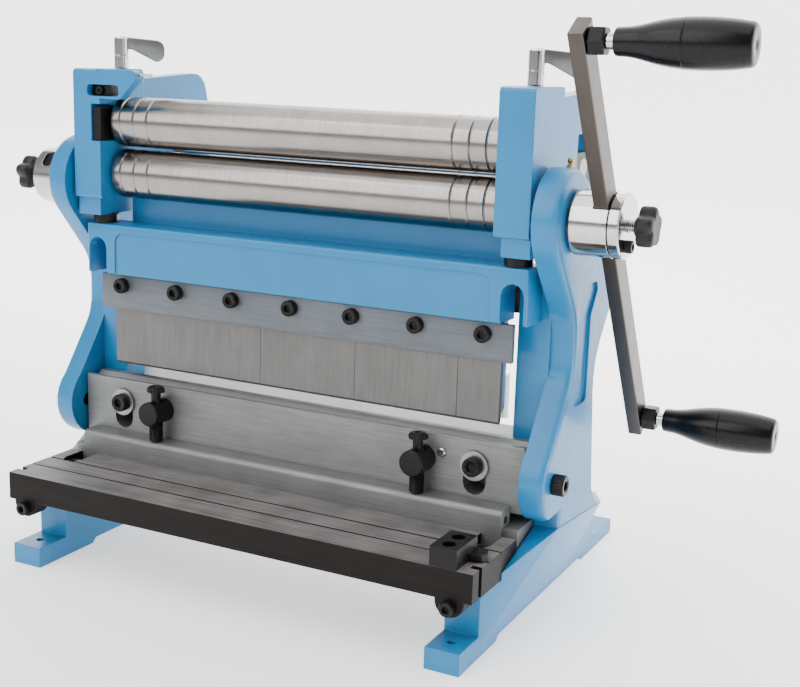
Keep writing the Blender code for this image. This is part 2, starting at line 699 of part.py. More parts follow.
def column_outline():
    """Side view of a side frame's column: boss, waist and nose in front, wings behind."""
    boss = arc((SHAFT_Y, SHAFT_Z), BOSS_RADIUS, BOSS_REAR_DEG, BOSS_FRONT_DEG, FINE_STEPS // 2)
    nose = arc((NOSE_Y, NOSE_Z), NOSE_RADIUS, NOSE_TOP_DEG, NOSE_END_DEG, ROUND_STEPS // 3)
    front = filleted([
        (*boss[-1], 0.0),
        (WAIST_Y, SHAFT_Z - BOSS_RADIUS * WAIST_DROP_SHARE, WAIST_RADIUS),
        (WAIST_Y, NOSE_Z + NOSE_RADIUS * WAIST_RISE_SHARE, WAIST_RADIUS),
        (*nose[0], 0.0),
    ])
    under = [(UNDER_NOSE_Y, nose[-1][1]), (UNDER_NOSE_Y, WEB_CROWN - COLUMN_SINK)]
    backs = (COLUMN_FOOT_BACK, COLUMN_WAIST_BACK, COLUMN_WING_BACK, COLUMN_TIP_BACK)
    curves = (COLUMN_CURVE, COLUMN_WAIST_CURVE, COLUMN_CURVE, COLUMN_TIP_CURVE)
    rear = [(SHAFT_Y + back, rise * SHAFT_Z, curve)
            for back, rise, curve in zip(backs, COLUMN_RISE_SHARES, curves)]
    foot = (COLUMN_FOOT_REAR, WEB_REAR_CROWN - COLUMN_SINK, 0.0)
    wings = filleted([foot, *rear, (*boss[0], 0.0)])
    return boss + front[1:-1] + nose + under + wings[:-1]


def foot_outline():
    """Side view of a foot: front pad, long bar and the relief under it."""
    return [
        (0.0, 0.0), (RELIEF_FRONT, 0.0), (RELIEF_FRONT + RELIEF_HEIGHT, RELIEF_HEIGHT),
        (RELIEF_REAR - RELIEF_HEIGHT, RELIEF_HEIGHT), (RELIEF_REAR, 0.0), (FOOT_LENGTH, 0.0),
        (FOOT_LENGTH, FOOT_REAR_HEIGHT), (WEB_REAR, FOOT_REAR_HEIGHT), (PAD_LENGTH, PAD_HEIGHT),
        (0.0, PAD_HEIGHT),
    ]


def panel_recess(side):
    """Shallow panel in the outer face of a column, with a rim left along its rear edge."""
    front = UNDER_NOSE_Y + PANEL_RIM
    rear = SHAFT_Y + COLUMN_WAIST_BACK - PANEL_RIM
    wing = SHAFT_Y + COLUMN_WING_BACK - PANEL_WING_RIM
    foot = NOSE_Z + NOSE_RADIUS * PANEL_RISE_SHARE
    bend = SHAFT_Z - BOSS_RADIUS * PANEL_WING_SHARE
    top = SHAFT_Z - BOSS_RADIUS * PANEL_TOP_SHARE
    corners = [(front, foot), (rear, foot), (rear, bend), (wing, top), (front, top)]
    outline = filleted([(y, z, PANEL_CORNER) for y, z in corners])
    return prism(outline, "X", side * (FRAME_OUTER - PANEL_DEPTH), side * (FRAME_OUTER + OVERRUN))


def add_side_frame(side, name, machine):
    """Cast side frame with its foot, web, column, boss and the rail that guides the ram."""
    outline = column_outline()
    column = prism(outline, "X", side * FRAME_INNER, side * FRAME_OUTER, 0.0, FRAME_EDGE)
    frame = piece(f"side_frame_{name}", column, machine, PAINT)
    foot = prism(foot_outline(), "X", side * FOOT_INNER, side * FOOT_OUTER)
    rail_outline = rectangle(RAIL_FRONT, RAIL_FRONT + RAIL_DEPTH, BED_TOP + SEAT, RAIL_TOP)
    rail = prism(rail_outline, "X", side * RAIL_INNER, side * RAIL_OUTER)
    fuse(frame, tapered_web(side), foot, rail)
    table_room = box(
        (side * (FOOT_INNER - OVERRUN), -OVERRUN, WEB_TOP),
        (side * (TABLE_HALF + SEAT), UNDER_NOSE_Y - SEAT, WEB_CROWN + OVERRUN),
    )
    bed_room = box(
        (side * (FOOT_INNER - OVERRUN), LEDGE_FRONT - SEAT, WEB_TOP),
        (side * FRAME_INNER, BED_REAR + SEAT, BED_TOP),
    )
    through = (side * (FRAME_INNER - OVERRUN), side * (FRAME_OUTER + OVERRUN))
    bush_seat = rod("X", (SHAFT_Y, SHAFT_Z), BUSH_RADIUS, *through, FINE_STEPS)
    bolt_hole = rod("X", (BOLT_Y, BOLT_Z), FRAME_BOLT_RADIUS + SEAT, *through, SMALL_STEPS)
    foot_x = side * FOOT_X
    tapped = (WEB_TOP - TABLE_BOLT_BITE - SEAT, WEB_TOP + OVERRUN)
    tap = rod("Z", (foot_x, TABLE_BOLT_Y), TABLE_BOLT_RADIUS + SEAT, *tapped, SMALL_STEPS)
    drilled = (PAD_HEIGHT - PAD_HOLE_DEPTH, PAD_HEIGHT + OVERRUN)
    pad_hole = rod("Z", (foot_x, PAD_LENGTH / 2), PAD_HOLE_RADIUS, *drilled, SMALL_STEPS)
    oil_x = side * NIPPLE_X
    oil_drilled = (NIPPLE_SEAT - NIPPLE_BITE - SEAT, NIPPLE_SEAT + OVERRUN)
    oil_hole = rod("Z", (oil_x, NIPPLE_Y), NIPPLE_NECK + SEAT, *oil_drilled, SMALL_STEPS)
    spot = (NIPPLE_SEAT, NIPPLE_SEAT + OVERRUN)
    oil_face = rod("Z", (oil_x, NIPPLE_Y), NIPPLE_RADIUS + 2 * SEAT, *spot, SMALL_STEPS)
    cut(frame, table_room, bed_room, bush_seat, bolt_hole, tap, pad_hole, oil_face, oil_hole)
    cut(frame, panel_recess(side))


def add_frame_fittings(side, name, machine):
    """Bush, oil nipple and bolt of one side frame."""
    bush = piece(f"bush_{name}", turned([
        (side * (FRAME_INNER + SEAT), BUSH_RADIUS - SEAT),
        (side * FRAME_OUTER, BUSH_RADIUS - SEAT),
        (side * (FRAME_OUTER + SEAT), BUSH_RADIUS - SEAT),
        (side * (FRAME_OUTER + BUSH_FLANGE), BUSH_RADIUS - SEAT),
    ], "X", (SHAFT_Y, SHAFT_Z), FINE_STEPS), machine, BRASS)
    bore = (side * (FRAME_INNER - OVERRUN), side * (FRAME_OUTER + BUSH_FLANGE + OVERRUN))
    cut(bush, rod("X", (SHAFT_Y, SHAFT_Z), SHAFT_RADIUS + RUN, *bore, FINE_STEPS))
    low = NIPPLE_SEAT + SEAT
    piece(f"oil_nipple_{name}", turned([
        (NIPPLE_SEAT - NIPPLE_BITE, NIPPLE_NECK), (low, NIPPLE_NECK), (low, NIPPLE_RADIUS),
        (low + NIPPLE_HEIGHT * NIPPLE_HEX_SHARE, NIPPLE_RADIUS),
        (low + NIPPLE_HEIGHT * NIPPLE_HEX_SHARE, NIPPLE_NECK),
        (low + NIPPLE_HEIGHT * NIPPLE_NECK_SHARE, NIPPLE_NECK * NIPPLE_BALL_SHARE),
        (low + NIPPLE_HEIGHT, NIPPLE_NECK * NIPPLE_TIP_SHARE),
    ], "Z", (side * NIPPLE_X, NIPPLE_Y), SMALL_STEPS), machine, BRASS)
    seat = FRAME_OUTER + SEAT
    piece(f"frame_bolt_{name}", turned([
        (side * (FRAME_OUTER - FRAME_BOLT_BITE), FRAME_BOLT_RADIUS),
        (side * seat, FRAME_BOLT_RADIUS), (side * seat, FRAME_BOLT_HEAD),
        (side * (seat + FRAME_BOLT_HEAD_HEIGHT - BOLT_EDGE), FRAME_BOLT_HEAD),
        (side * (seat + FRAME_BOLT_HEAD_HEIGHT), FRAME_BOLT_HEAD - BOLT_EDGE),
    ], "X", (BOLT_Y, BOLT_Z)), machine, BLACK)


def add_bed(machine):
    """Bed casting: ledge for the jacks, wall behind the die and seat of the lower blade."""
    blade_rear = BED_WALL_REAR + BLADE_THICKNESS + 2 * SEAT
    blade_floor = BED_TOP - BLADE_HEIGHT - SEAT
    ledge_inside = LEDGE_FRONT + LEDGE_EDGE
    bar = [
        (ledge_inside, BED_UNDERSIDE), (ledge_inside, BED_FLOOR), (BED_WALL_FRONT, BED_FLOOR),
        (BED_WALL_FRONT, BED_WALL_TOP), (BED_WALL_REAR, BED_WALL_TOP),
        (BED_WALL_REAR, blade_floor), (blade_rear, blade_floor), (blade_rear, BED_TOP),
        (BED_REAR, BED_TOP), (BED_REAR, BED_UNDERSIDE), (BED_REAR - BED_SKIRT, BED_UNDERSIDE),
        (BED_REAR - BED_SKIRT, BED_UNDERSIDE + BED_RELIEF),
        (LEDGE_REAR + LEDGE_EDGE, BED_UNDERSIDE + BED_RELIEF),
        (LEDGE_REAR + LEDGE_EDGE, BED_UNDERSIDE),
    ]
    bed = piece("bed", prism(bar, "X", -FRAME_SEAT, FRAME_SEAT), machine, IRON)
    ledge = filleted([
        (LEDGE_FRONT, BED_UNDERSIDE, 0.0), (LEDGE_REAR, BED_UNDERSIDE, 0.0),
        (LEDGE_REAR, LEDGE_TOP, 0.0), (LEDGE_FRONT, LEDGE_TOP, LEDGE_EDGE),
    ])
    fuse(bed, prism(ledge, "X", -LEDGE_HALF, LEDGE_HALF))
    tapped = (BED_WALL_FRONT - OVERRUN, BED_WALL_FRONT + DIE_BOLT_BITE + SEAT)
    for side in (-1, 1):
        place = (side * DIE_SLOT_X, DIE_BOLT_Z)
        cut(bed, rod("Y", place, DIE_BOLT_RADIUS + SEAT, *tapped, SMALL_STEPS))


def add_blades(machine, ram):
    """Lower shear blade in the bed's seat and raked upper blade on the back of the ram."""
    lower = rectangle(BED_WALL_REAR + SEAT, BED_WALL_REAR + SEAT + BLADE_THICKNESS,
                      BED_TOP - BLADE_HEIGHT, BED_TOP)
    piece("lower_blade", prism(lower, "X", -BLADE_HALF, BLADE_HALF), machine, STEEL)
    front = RAM_REAR + SEAT
    rear = front + UPPER_BLADE_THICKNESS
    outline = [(front, UPPER_BLADE_TIP + UPPER_BLADE_BEVEL), (rear, UPPER_BLADE_TIP),
               (rear, UPPER_BLADE_TOP), (front, UPPER_BLADE_TOP)]
    upper = prism(outline, "X", -BLADE_HALF, BLADE_HALF)
    for vert in upper.verts:
        if vert.co.x > 0.0 and vert.co.z < UPPER_BLADE_TOP - UPPER_BLADE_RAKE:
            vert.co.z += UPPER_BLADE_RAKE
    piece("upper_blade", upper, ram, STEEL)


def add_table(table):
    """Table with two grooves, a clamping slot at each end and a lug under each front corner."""
    slab = rectangle(TABLE_FRONT, TABLE_REAR, TABLE_BOTTOM, TABLE_TOP)
    made = piece("table", prism(slab, "X", -TABLE_HALF, TABLE_HALF), table, BROWN)
    for side in (-1, 1):
        lug = rod("Y", (side * LUG_X, TABLE_BOTTOM - LUG_HANG), LUG_RADIUS, TABLE_FRONT,
                  TABLE_FRONT + LUG_THICKNESS)
        fuse(made, lug)
    for groove_y in TABLE_GROOVES_Y:
        half = TABLE_GROOVE_WIDTH / 2
        cut(made, box((-TABLE_HALF - OVERRUN, groove_y - half, TABLE_TOP - TABLE_GROOVE_DEPTH),
                      (TABLE_HALF + OVERRUN, groove_y + half, TABLE_TOP + OVERRUN)))
    slot_half = TABLE_SLOT_WIDTH / 2
    sink_half = TABLE_BOLT_HEAD + 2 * SEAT
    for side in (-1, 1):
        for half, low in ((slot_half, TABLE_BOTTOM - OVERRUN),
                          (sink_half, TABLE_TOP - TABLE_BOLT_SINK)):
            front = TABLE_BOLT_Y - half - SEAT
            outline = [*arc((side * FOOT_X, front + half), half, 180, 360),
                       (side * FOOT_X + half, TABLE_REAR + OVERRUN),
                       (side * FOOT_X - half, TABLE_REAR + OVERRUN)]
            cut(made, prism(outline, "Z", low, TABLE_TOP + OVERRUN))
        end_low = TABLE_END_SLOT_Y - TABLE_END_SLOT_WIDTH / 2
        cut(made, box(
            (side * (TABLE_HALF - TABLE_END_SLOT_DEPTH), end_low, TABLE_BOTTOM - OVERRUN),
            (side * (TABLE_HALF + OVERRUN), end_low + TABLE_END_SLOT_WIDTH, TABLE_TOP + OVERRUN),
        ))
        cut(made, rod("Y", (side * LUG_X, LUG_SCREW_Z), PUSH_SCREW_RADIUS + SEAT,
                      TABLE_FRONT - OVERRUN, TABLE_FRONT + LUG_THICKNESS + OVERRUN, SMALL_STEPS))


def add_table_fittings(side, name, machine, table):
    """Clamping bolt in the slot and the screw that pushes the table off the web."""
    seat = TABLE_TOP - TABLE_BOLT_SINK + SEAT
    piece(f"table_bolt_{name}", turned([
        (WEB_TOP - TABLE_BOLT_BITE, TABLE_BOLT_RADIUS), (seat, TABLE_BOLT_RADIUS),
        (seat, TABLE_BOLT_HEAD), (seat + TABLE_BOLT_HEAD_HEIGHT - BOLT_EDGE, TABLE_BOLT_HEAD),
        (seat + TABLE_BOLT_HEAD_HEIGHT, TABLE_BOLT_HEAD - BOLT_EDGE),
    ], "Z", (side * FOOT_X, TABLE_BOLT_Y), SMALL_STEPS), machine, BLACK)
    piece(f"push_screw_{name}", turned([
        (TABLE_FRONT - SEAT - PUSH_HEAD_HEIGHT, PUSH_HEAD_RADIUS),
        (TABLE_FRONT - SEAT, PUSH_HEAD_RADIUS), (TABLE_FRONT - SEAT, PUSH_SCREW_RADIUS),
        (PAD_LENGTH - SEAT, PUSH_SCREW_RADIUS),
    ], "Y", (side * LUG_X, LUG_SCREW_Z), SMALL_STEPS), table, BLACK)


def add_side_stop(table):
    """Stop block on the right end of the table, with a round tongue and two screw recesses."""
    outer = TABLE_HALF - STOP_INSET
    inner = outer - STOP_WIDTH
    low = TABLE_TOP + SEAT
    front = TABLE_FRONT
    block = rectangle(inner, outer, front, front + STOP_DEPTH)
    stop = piece("side_stop", prism(block, "Z", low, low + STOP_HEIGHT), table, BLACK)
    tongue_y = front + STOP_DEPTH - STOP_TONGUE_WIDTH / 2
    half = STOP_TONGUE_WIDTH / 2
    root = outer - STOP_WIDTH / 2
    tip = outer + STOP_TONGUE - half
    tongue = [(root, tongue_y - half), *arc((tip, tongue_y), half, -90, 90),
              (root, tongue_y + half)]
    fuse(stop, prism(tongue, "Z", low, low + STOP_TONGUE_HEIGHT))
    for share in STOP_RECESS_SHARES:
        place = ((inner + outer) / 2, front + STOP_DEPTH * share)
        deep = (low + STOP_HEIGHT - STOP_RECESS_DEPTH, low + STOP_HEIGHT + OVERRUN)
        cut(stop, rod("Z", place, STOP_RECESS_RADIUS, *deep, SMALL_STEPS))


def add_die(machine, die):
    """Die plate with its vee, slots and bolts, and the threaded bosses of its jacks."""
    middle = PUNCH_Y
    profile = [
        (DIE_FRONT, DIE_BOTTOM), (DIE_REAR, DIE_BOTTOM), (DIE_REAR, DIE_TOP),
        (middle + VEE_DEPTH, DIE_TOP), (middle, DIE_TOP - VEE_DEPTH),
        (middle - VEE_DEPTH, DIE_TOP), (DIE_FRONT, DIE_TOP),
    ]
    plate = piece("die_plate", prism(profile, "X", -DIE_HALF, DIE_HALF), die, IRON)
    through = (DIE_FRONT - OVERRUN, DIE_REAR + OVERRUN)
    slot_top = DIE_TOP - DIE_SLOT_TOP
    for side, name in ((-1, "left"), (1, "right")):
        slot_x = side * DIE_SLOT_X
        half = DIE_SLOT_WIDTH / 2
        slot = [*arc((slot_x, slot_top - half), half, 0, 180, SMALL_STEPS // 2),
                *arc((slot_x, slot_top - DIE_SLOT_HEIGHT + half), half, 180, 360, SMALL_STEPS // 2)]
        cut(plate, prism(slot, "Y", *through))
        spigot = (DIE_FRONT - OVERRUN, DIE_FRONT + JACK_SPIGOT + SEAT)
        cut(plate, rod("Y", (side * JACK_X, JACK_Z), JACK_SPIGOT_RADIUS + SEAT, *spigot, SMALL_STEPS))
        washer_front = DIE_FRONT - SEAT - WASHER_THICKNESS
        washer = rod("Y", (slot_x, DIE_BOLT_Z), WASHER_RADIUS, washer_front, DIE_FRONT - SEAT)
        made = piece(f"die_washer_{name}", washer, machine, CHROME)
        bored = (washer_front - OVERRUN, DIE_FRONT + OVERRUN)
        cut(made, rod("Y", (slot_x, DIE_BOLT_Z), DIE_BOLT_RADIUS + SEAT, *bored, SMALL_STEPS))
        head = washer_front - SEAT
        piece(f"die_bolt_{name}", turned([
            (head - DIE_BOLT_HEAD_HEIGHT, DIE_BOLT_HEAD - BOLT_EDGE),
            (head - DIE_BOLT_HEAD_HEIGHT + BOLT_EDGE, DIE_BOLT_HEAD), (head, DIE_BOLT_HEAD),
            (head, DIE_BOLT_RADIUS), (BED_WALL_FRONT + DIE_BOLT_BITE, DIE_BOLT_RADIUS),
        ], "Y", (slot_x, DIE_BOLT_Z), SMALL_STEPS), machine, BLACK)
        add_jack_boss(side, name, die)
    dowel_z = DIE_TOP - DOWEL_BELOW_TOP
    drilled = (DIE_FRONT - OVERRUN, DIE_FRONT + DOWEL_LENGTH + SEAT)
    cut(plate, rod("Y", (DOWEL_X, dowel_z), DOWEL_RADIUS + SEAT, *drilled, SMALL_STEPS))
    pin = rod("Y", (DOWEL_X, dowel_z), DOWEL_RADIUS, DIE_FRONT - DOWEL_PROUD,
              DIE_FRONT + DOWEL_LENGTH, SMALL_STEPS, BOLT_EDGE)
    piece("die_dowel", pin, die, CHROME)


def add_jack_boss(side, name, die):
    """Cross cylinder on the die plate, bored for the jack screw."""
    boss = piece(f"jack_boss_{name}", turned([
        (JACK_BOSS_FRONT, JACK_BOSS_RADIUS - BOLT_EDGE),
        (JACK_BOSS_FRONT + BOLT_EDGE, JACK_BOSS_RADIUS), (DIE_FRONT - SEAT, JACK_BOSS_RADIUS),
        (DIE_FRONT - SEAT, JACK_SPIGOT_RADIUS), (DIE_FRONT + JACK_SPIGOT, JACK_SPIGOT_RADIUS),
    ], "Y", (side * JACK_X, JACK_Z)), die, BLACK)
    bored = (JACK_Z - JACK_BOSS_RADIUS - OVERRUN, JACK_Z + JACK_BOSS_RADIUS + OVERRUN)
    cut(boss, rod("Z", (side * JACK_X, JACK_Y), JACK_RADIUS + RUN, *bored))


def add_jack(side, name, machine):
    """Jack screw standing on the ledge, with a narrow neck and a round head."""
    axis = empty(f"jack_axis_{name}", machine, (side * JACK_X, JACK_Y, LEDGE_TOP + SEAT))
    height = JACK_Z + JACK_HEAD_ABOVE - LEDGE_TOP - SEAT
    neck = height - JACK_HEAD_HEIGHT - JACK_NECK_HEIGHT
    piece(f"jack_screw_{name}", turned([
        (0.0, JACK_RADIUS - BOLT_EDGE), (BOLT_EDGE, JACK_RADIUS), (neck, JACK_RADIUS),
        (neck, JACK_NECK_RADIUS), (height - JACK_HEAD_HEIGHT, JACK_NECK_RADIUS),
        (height - JACK_HEAD_HEIGHT + BOLT_EDGE, JACK_HEAD_RADIUS),
        (height - BOLT_EDGE, JACK_HEAD_RADIUS), (height, JACK_HEAD_RADIUS - BOLT_EDGE),
    ], "Z"), axis, BLACK)


def add_ram(ram):
    """Ram casting: front beam with its panel, clamp flange, rear wall and end notches."""
    beam = rectangle(-RAM_HALF, RAM_HALF, RAM_BOTTOM, RAM_TOP)
    made = piece("ram", prism(beam, "Y", RAM_FRONT, RAM_REAR, RAM_EDGE, 0.0), ram, PAINT)
    wall = rectangle(-WALL_HALF, WALL_HALF, RAM_BOTTOM, RAM_TOP + RAM_WALL_HEIGHT)
    flange = rectangle(-FLANGE_HALF, FLANGE_HALF, RAM_BOTTOM - FLANGE_HEIGHT, RAM_BOTTOM + RAM_EDGE)
    fuse(made, prism(wall, "Y", RAM_REAR - SEAT, RAM_REAR + RAM_WALL_THICKNESS))
    fuse(made, prism(flange, "Y", FLANGE_FRONT, RAM_REAR))
    panel_half = RAM_HALF - RAM_PANEL_INSET
    panel = rectangle(-panel_half, panel_half, RAM_BOTTOM - OVERRUN - RAM_PANEL_CORNER,
                      RAM_TOP - RAM_PANEL_TOP, RAM_PANEL_CORNER)
    cut(made, prism(panel, "Y", RAM_FRONT - OVERRUN, RAM_FRONT + RAM_PANEL_DEPTH))
    for side in (-1, 1):
        middle = side * (NOTCH_OUTER - NOTCH_WIDTH / 2)
        half = NOTCH_WIDTH / 2
        notch = [*arc((middle, RAM_TOP - NOTCH_TOP - half), half, 0, 180, SMALL_STEPS // 2),
                 (middle - half, RAM_BOTTOM - OVERRUN), (middle + half, RAM_BOTTOM - OVERRUN)]
        cut(made, prism(notch, "Y", RAM_FRONT - OVERRUN, RAM_REAR + RAM_WALL_THICKNESS + OVERRUN))
        place = (side * HEAD_STUD_X, HEAD_STUD_Y)
        deep = (RAM_TOP - HEAD_STUD_BITE - SEAT, RAM_TOP + OVERRUN)
        cut(made, rod("Z", place, HEAD_STUD_CORE + SEAT, *deep, SMALL_STEPS))


def clamp_screw_places():
    """Where the clamp screws stand along X."""
    return [(index - (CLAMP_SCREWS - 1) / 2) * CLAMP_SCREW_PITCH for index in range(CLAMP_SCREWS)]


def add_punch(ram):
    """Clamp bar with its screws, and the punch segments that hang in it by open slots."""
    bar = rectangle(-CLAMP_HALF, CLAMP_HALF, PUNCH_TOP - CLAMP_HEIGHT, PUNCH_TOP)
    made = piece("clamp_bar", prism(bar, "Y", CLAMP_FRONT, CLAMP_REAR), ram, IRON)
    for x in clamp_screw_places():
        fuse(made, turned([
            (CLAMP_FRONT - CLAMP_HEAD_HEIGHT, CLAMP_HEAD_RADIUS - BOLT_EDGE),
            (CLAMP_FRONT - CLAMP_HEAD_HEIGHT + BOLT_EDGE, CLAMP_HEAD_RADIUS),
            (CLAMP_FRONT + SEAT, CLAMP_HEAD_RADIUS), (CLAMP_FRONT + SEAT, CLAMP_SHANK_RADIUS),
            (PUNCH_REAR, CLAMP_SHANK_RADIUS),
        ], "Y", (x, CLAMP_SCREW_Z), SMALL_STEPS))
    width = 2 * PUNCH_HALF
    for index, (low, high) in enumerate(zip(PUNCH_JOINT_SHARES, PUNCH_JOINT_SHARES[1:])):
        start = -PUNCH_HALF + width * low + (SEAT if index else 0.0)
        end = -PUNCH_HALF + width * high
        segment = piece(f"punch_{index + 1}", punch_blank(start, end), ram, STEEL)
        half = CLAMP_SHANK_RADIUS + SEAT
        for x in clamp_screw_places():
            if start - half < x < end + half:
                slot = [*arc((x, CLAMP_SCREW_Z), half, 180, 360, SMALL_STEPS // 2),
                        (x + half, PUNCH_TOP + OVERRUN), (x - half, PUNCH_TOP + OVERRUN)]
                cut(segment, prism(slot, "Y", PUNCH_FRONT - OVERRUN, PUNCH_REAR + OVERRUN))


def punch_blank(start, end):
    """One punch segment: a plate ground to a point over the vee."""
    profile = [
        (PUNCH_Y, PUNCH_BOTTOM), (PUNCH_REAR, PUNCH_BOTTOM + PUNCH_TIP), (PUNCH_REAR, PUNCH_TOP),
        (PUNCH_FRONT, PUNCH_TOP), (PUNCH_FRONT, PUNCH_BOTTOM + PUNCH_TIP),
    ]
    return prism(profile, "X", start, end)


def head_profile():
    """Side view of a head: upright block in front, arm with a round nose behind."""
    rear = HEAD_FRONT + HEAD_DEPTH
    return filleted([
        (HEAD_FRONT, HEAD_BOTTOM, HEAD_EDGE), (rear, HEAD_BOTTOM, HEAD_EDGE),
        (rear, HEAD_TOP, HEAD_EDGE), (HEAD_FRONT, HEAD_TOP, HEAD_EDGE),
    ], EDGE_STEPS)


def arm_profile():
    """Side view of the arm that reaches back from a head to the rear roll."""
    crown = HEAD_TOP - ARM_CROWN_DROP
    end = REAR_ROLL_Y + ARM_REACH
    root = HEAD_FRONT + HEAD_DEPTH - ARM_ROOT
    low = REAR_ROLL_Z - ARM_NOSE
    return filleted([
        (root, HEAD_BOTTOM + HEAD_EDGE, 0.0), (REAR_ROLL_Y - ARM_NOSE, low, ARM_NOSE),
        (REAR_ROLL_Y + ARM_NOSE, low, ARM_NOSE / 2), (end, crown - ARM_NOSE, ARM_NOSE / 2),
        (end - ARM_CROWN_LEAN, crown, ARM_CROWN_RADIUS), (root, HEAD_TOP - ARM_DROP, 0.0),
    ])


def add_head(side, name, ram):
    """Head casting: bearing seats of both rolls, gear case or plain side, arm and foot lip."""
    block = prism(head_profile(), "X", side * HEAD_INNER, side * HEAD_OUTER)
    head = piece(f"head_{name}", block, ram, PAINT)
    arm_outer = HEAD_OUTER - ARM_INSET
    fuse(head, prism(arm_profile(), "X", side * (arm_outer - ARM_THICKNESS), side * arm_outer))
    lip = rectangle(HEAD_FRONT + LIP_SETBACK, HEAD_FRONT + HEAD_DEPTH - HEAD_EDGE,
                    LIP_BOTTOM, HEAD_BOTTOM + HEAD_EDGE)
    fuse(head, prism(lip, "X", side * (HEAD_INNER + LIP_SETBACK), side * HEAD_OUTER))
    if side < 0:
        add_overhang(head)
    inner = side * (HEAD_INNER - OVERRUN)
    outer = side * (HEAD_OUTER + OVERRUN)
    cut(head, rod("X", (SHAFT_Y, LOWER_ROLL_Z), JOURNAL_RADIUS + RUN, inner, outer))
    window_front = HEAD_FRONT - OVERRUN if side < 0 else HEAD_FRONT + WINDOW_WALL
    window = rectangle(window_front, HEAD_FRONT + WINDOW_DEPTH, WINDOW_BOTTOM, WINDOW_TOP)
    cut(head, prism(window, "X", inner, side * (HEAD_INNER + WINDOW_WIDTH)))
    if side < 0:
        reach = rectangle(SHAFT_Y - JOURNAL_RADIUS - RUN, SHAFT_Y + JOURNAL_RADIUS + RUN,
                          UPPER_ROLL_Z - JOURNAL_RADIUS - RUN,
                          UPPER_ROLL_Z + JOURNAL_RADIUS + RUN + NIP_TRAVEL)
        cut(head, prism(reach, "X", side * HEAD_INNER, outer))
        room = GEAR_RADIUS + GEAR_CASE_ROOM
        case = [*arc((SHAFT_Y, UPPER_ROLL_Z + NIP_TRAVEL), room, 0, 180, ROUND_STEPS // 2),
                *arc((SHAFT_Y, LOWER_ROLL_Z), room, 180, 360, ROUND_STEPS // 2)]
        cut(head, prism(case, "X", side * GEAR_CASE_FLOOR, outer))
    block_half = BLOCK_DEPTH / 2
    carriage = rectangle(REAR_ROLL_Y - block_half - RUN, REAR_ROLL_Y + block_half + RUN,
                         REAR_ROLL_Z - REAR_BLOCK_BELOW - SEAT,
                         REAR_ROLL_Z + REAR_BLOCK_ABOVE + REAR_TRAVEL + SEAT)
    cut(head, prism(carriage, "X", side * (HEAD_INNER - OVERRUN), outer))
    adjuster = (REAR_ROLL_Z - ARM_NOSE - OVERRUN, REAR_ROLL_Z)
    arm_middle = side * (arm_outer - ARM_THICKNESS / 2)
    cut(head, rod("Z", (arm_middle, REAR_ROLL_Y), ADJUSTER_RADIUS + SEAT, *adjuster, SMALL_STEPS))
    stud = (WINDOW_TOP - OVERRUN, HEAD_TOP + OVERRUN)
    cut(head, rod("Z", (side * STUD_X, STUD_Y), STUD_RADIUS + SEAT, *stud, SMALL_STEPS))
    bolt = (LIP_BOTTOM - OVERRUN, LIP_BOTTOM + HEAD_STUD_BITE + SEAT)
    cut(head, rod("Z", (side * HEAD_STUD_X, HEAD_STUD_Y), HEAD_STUD_CORE + SEAT, *bolt, SMALL_STEPS))
    piece(f"head_stud_{name}", turned([
        (RAM_TOP - HEAD_STUD_BITE, HEAD_STUD_CORE), (RAM_TOP + SEAT, HEAD_STUD_CORE),
        (RAM_TOP + SEAT, HEAD_STUD_RADIUS), (LIP_BOTTOM - SEAT, HEAD_STUD_RADIUS),
        (LIP_BOTTOM - SEAT, HEAD_STUD_CORE), (LIP_BOTTOM + HEAD_STUD_BITE, HEAD_STUD_CORE),
    ], "Z", (side * HEAD_STUD_X, HEAD_STUD_Y), SMALL_STEPS), ram, BLACK)


def add_overhang(head):
    """Block of the left head that reaches over the upper roll, with its sight slot."""
    low = HEAD_TOP - OVERHANG_HEIGHT
    inner = -HEAD_INNER
    tip = inner + OVERHANG
    root = inner - HEAD_EDGE
    outline = filleted([
        (root, low, 0.0), (inner + OVERHANG_FLAT, low, OVERHANG_CORNER),
        (tip, HEAD_TOP - OVERHANG_END, OVERHANG_CORNER), (tip, HEAD_TOP, OVERHANG_CORNER),
        (root, HEAD_TOP, 0.0),
    ])
    fuse(head, prism(outline, "Y", HEAD_FRONT, HEAD_FRONT + OVERHANG_DEPTH))
    sight_low = WINDOW_TOP + SIGHT_ABOVE_WINDOW
    start = -HEAD_INNER - SIGHT_REACH
    sight = rectangle(start, start + SIGHT_LENGTH, sight_low, sight_low + SIGHT_HEIGHT,
                      SIGHT_CORNER)
    cut(head, prism(sight, "Y", HEAD_FRONT - OVERRUN, HEAD_FRONT + SIGHT_DEPTH))


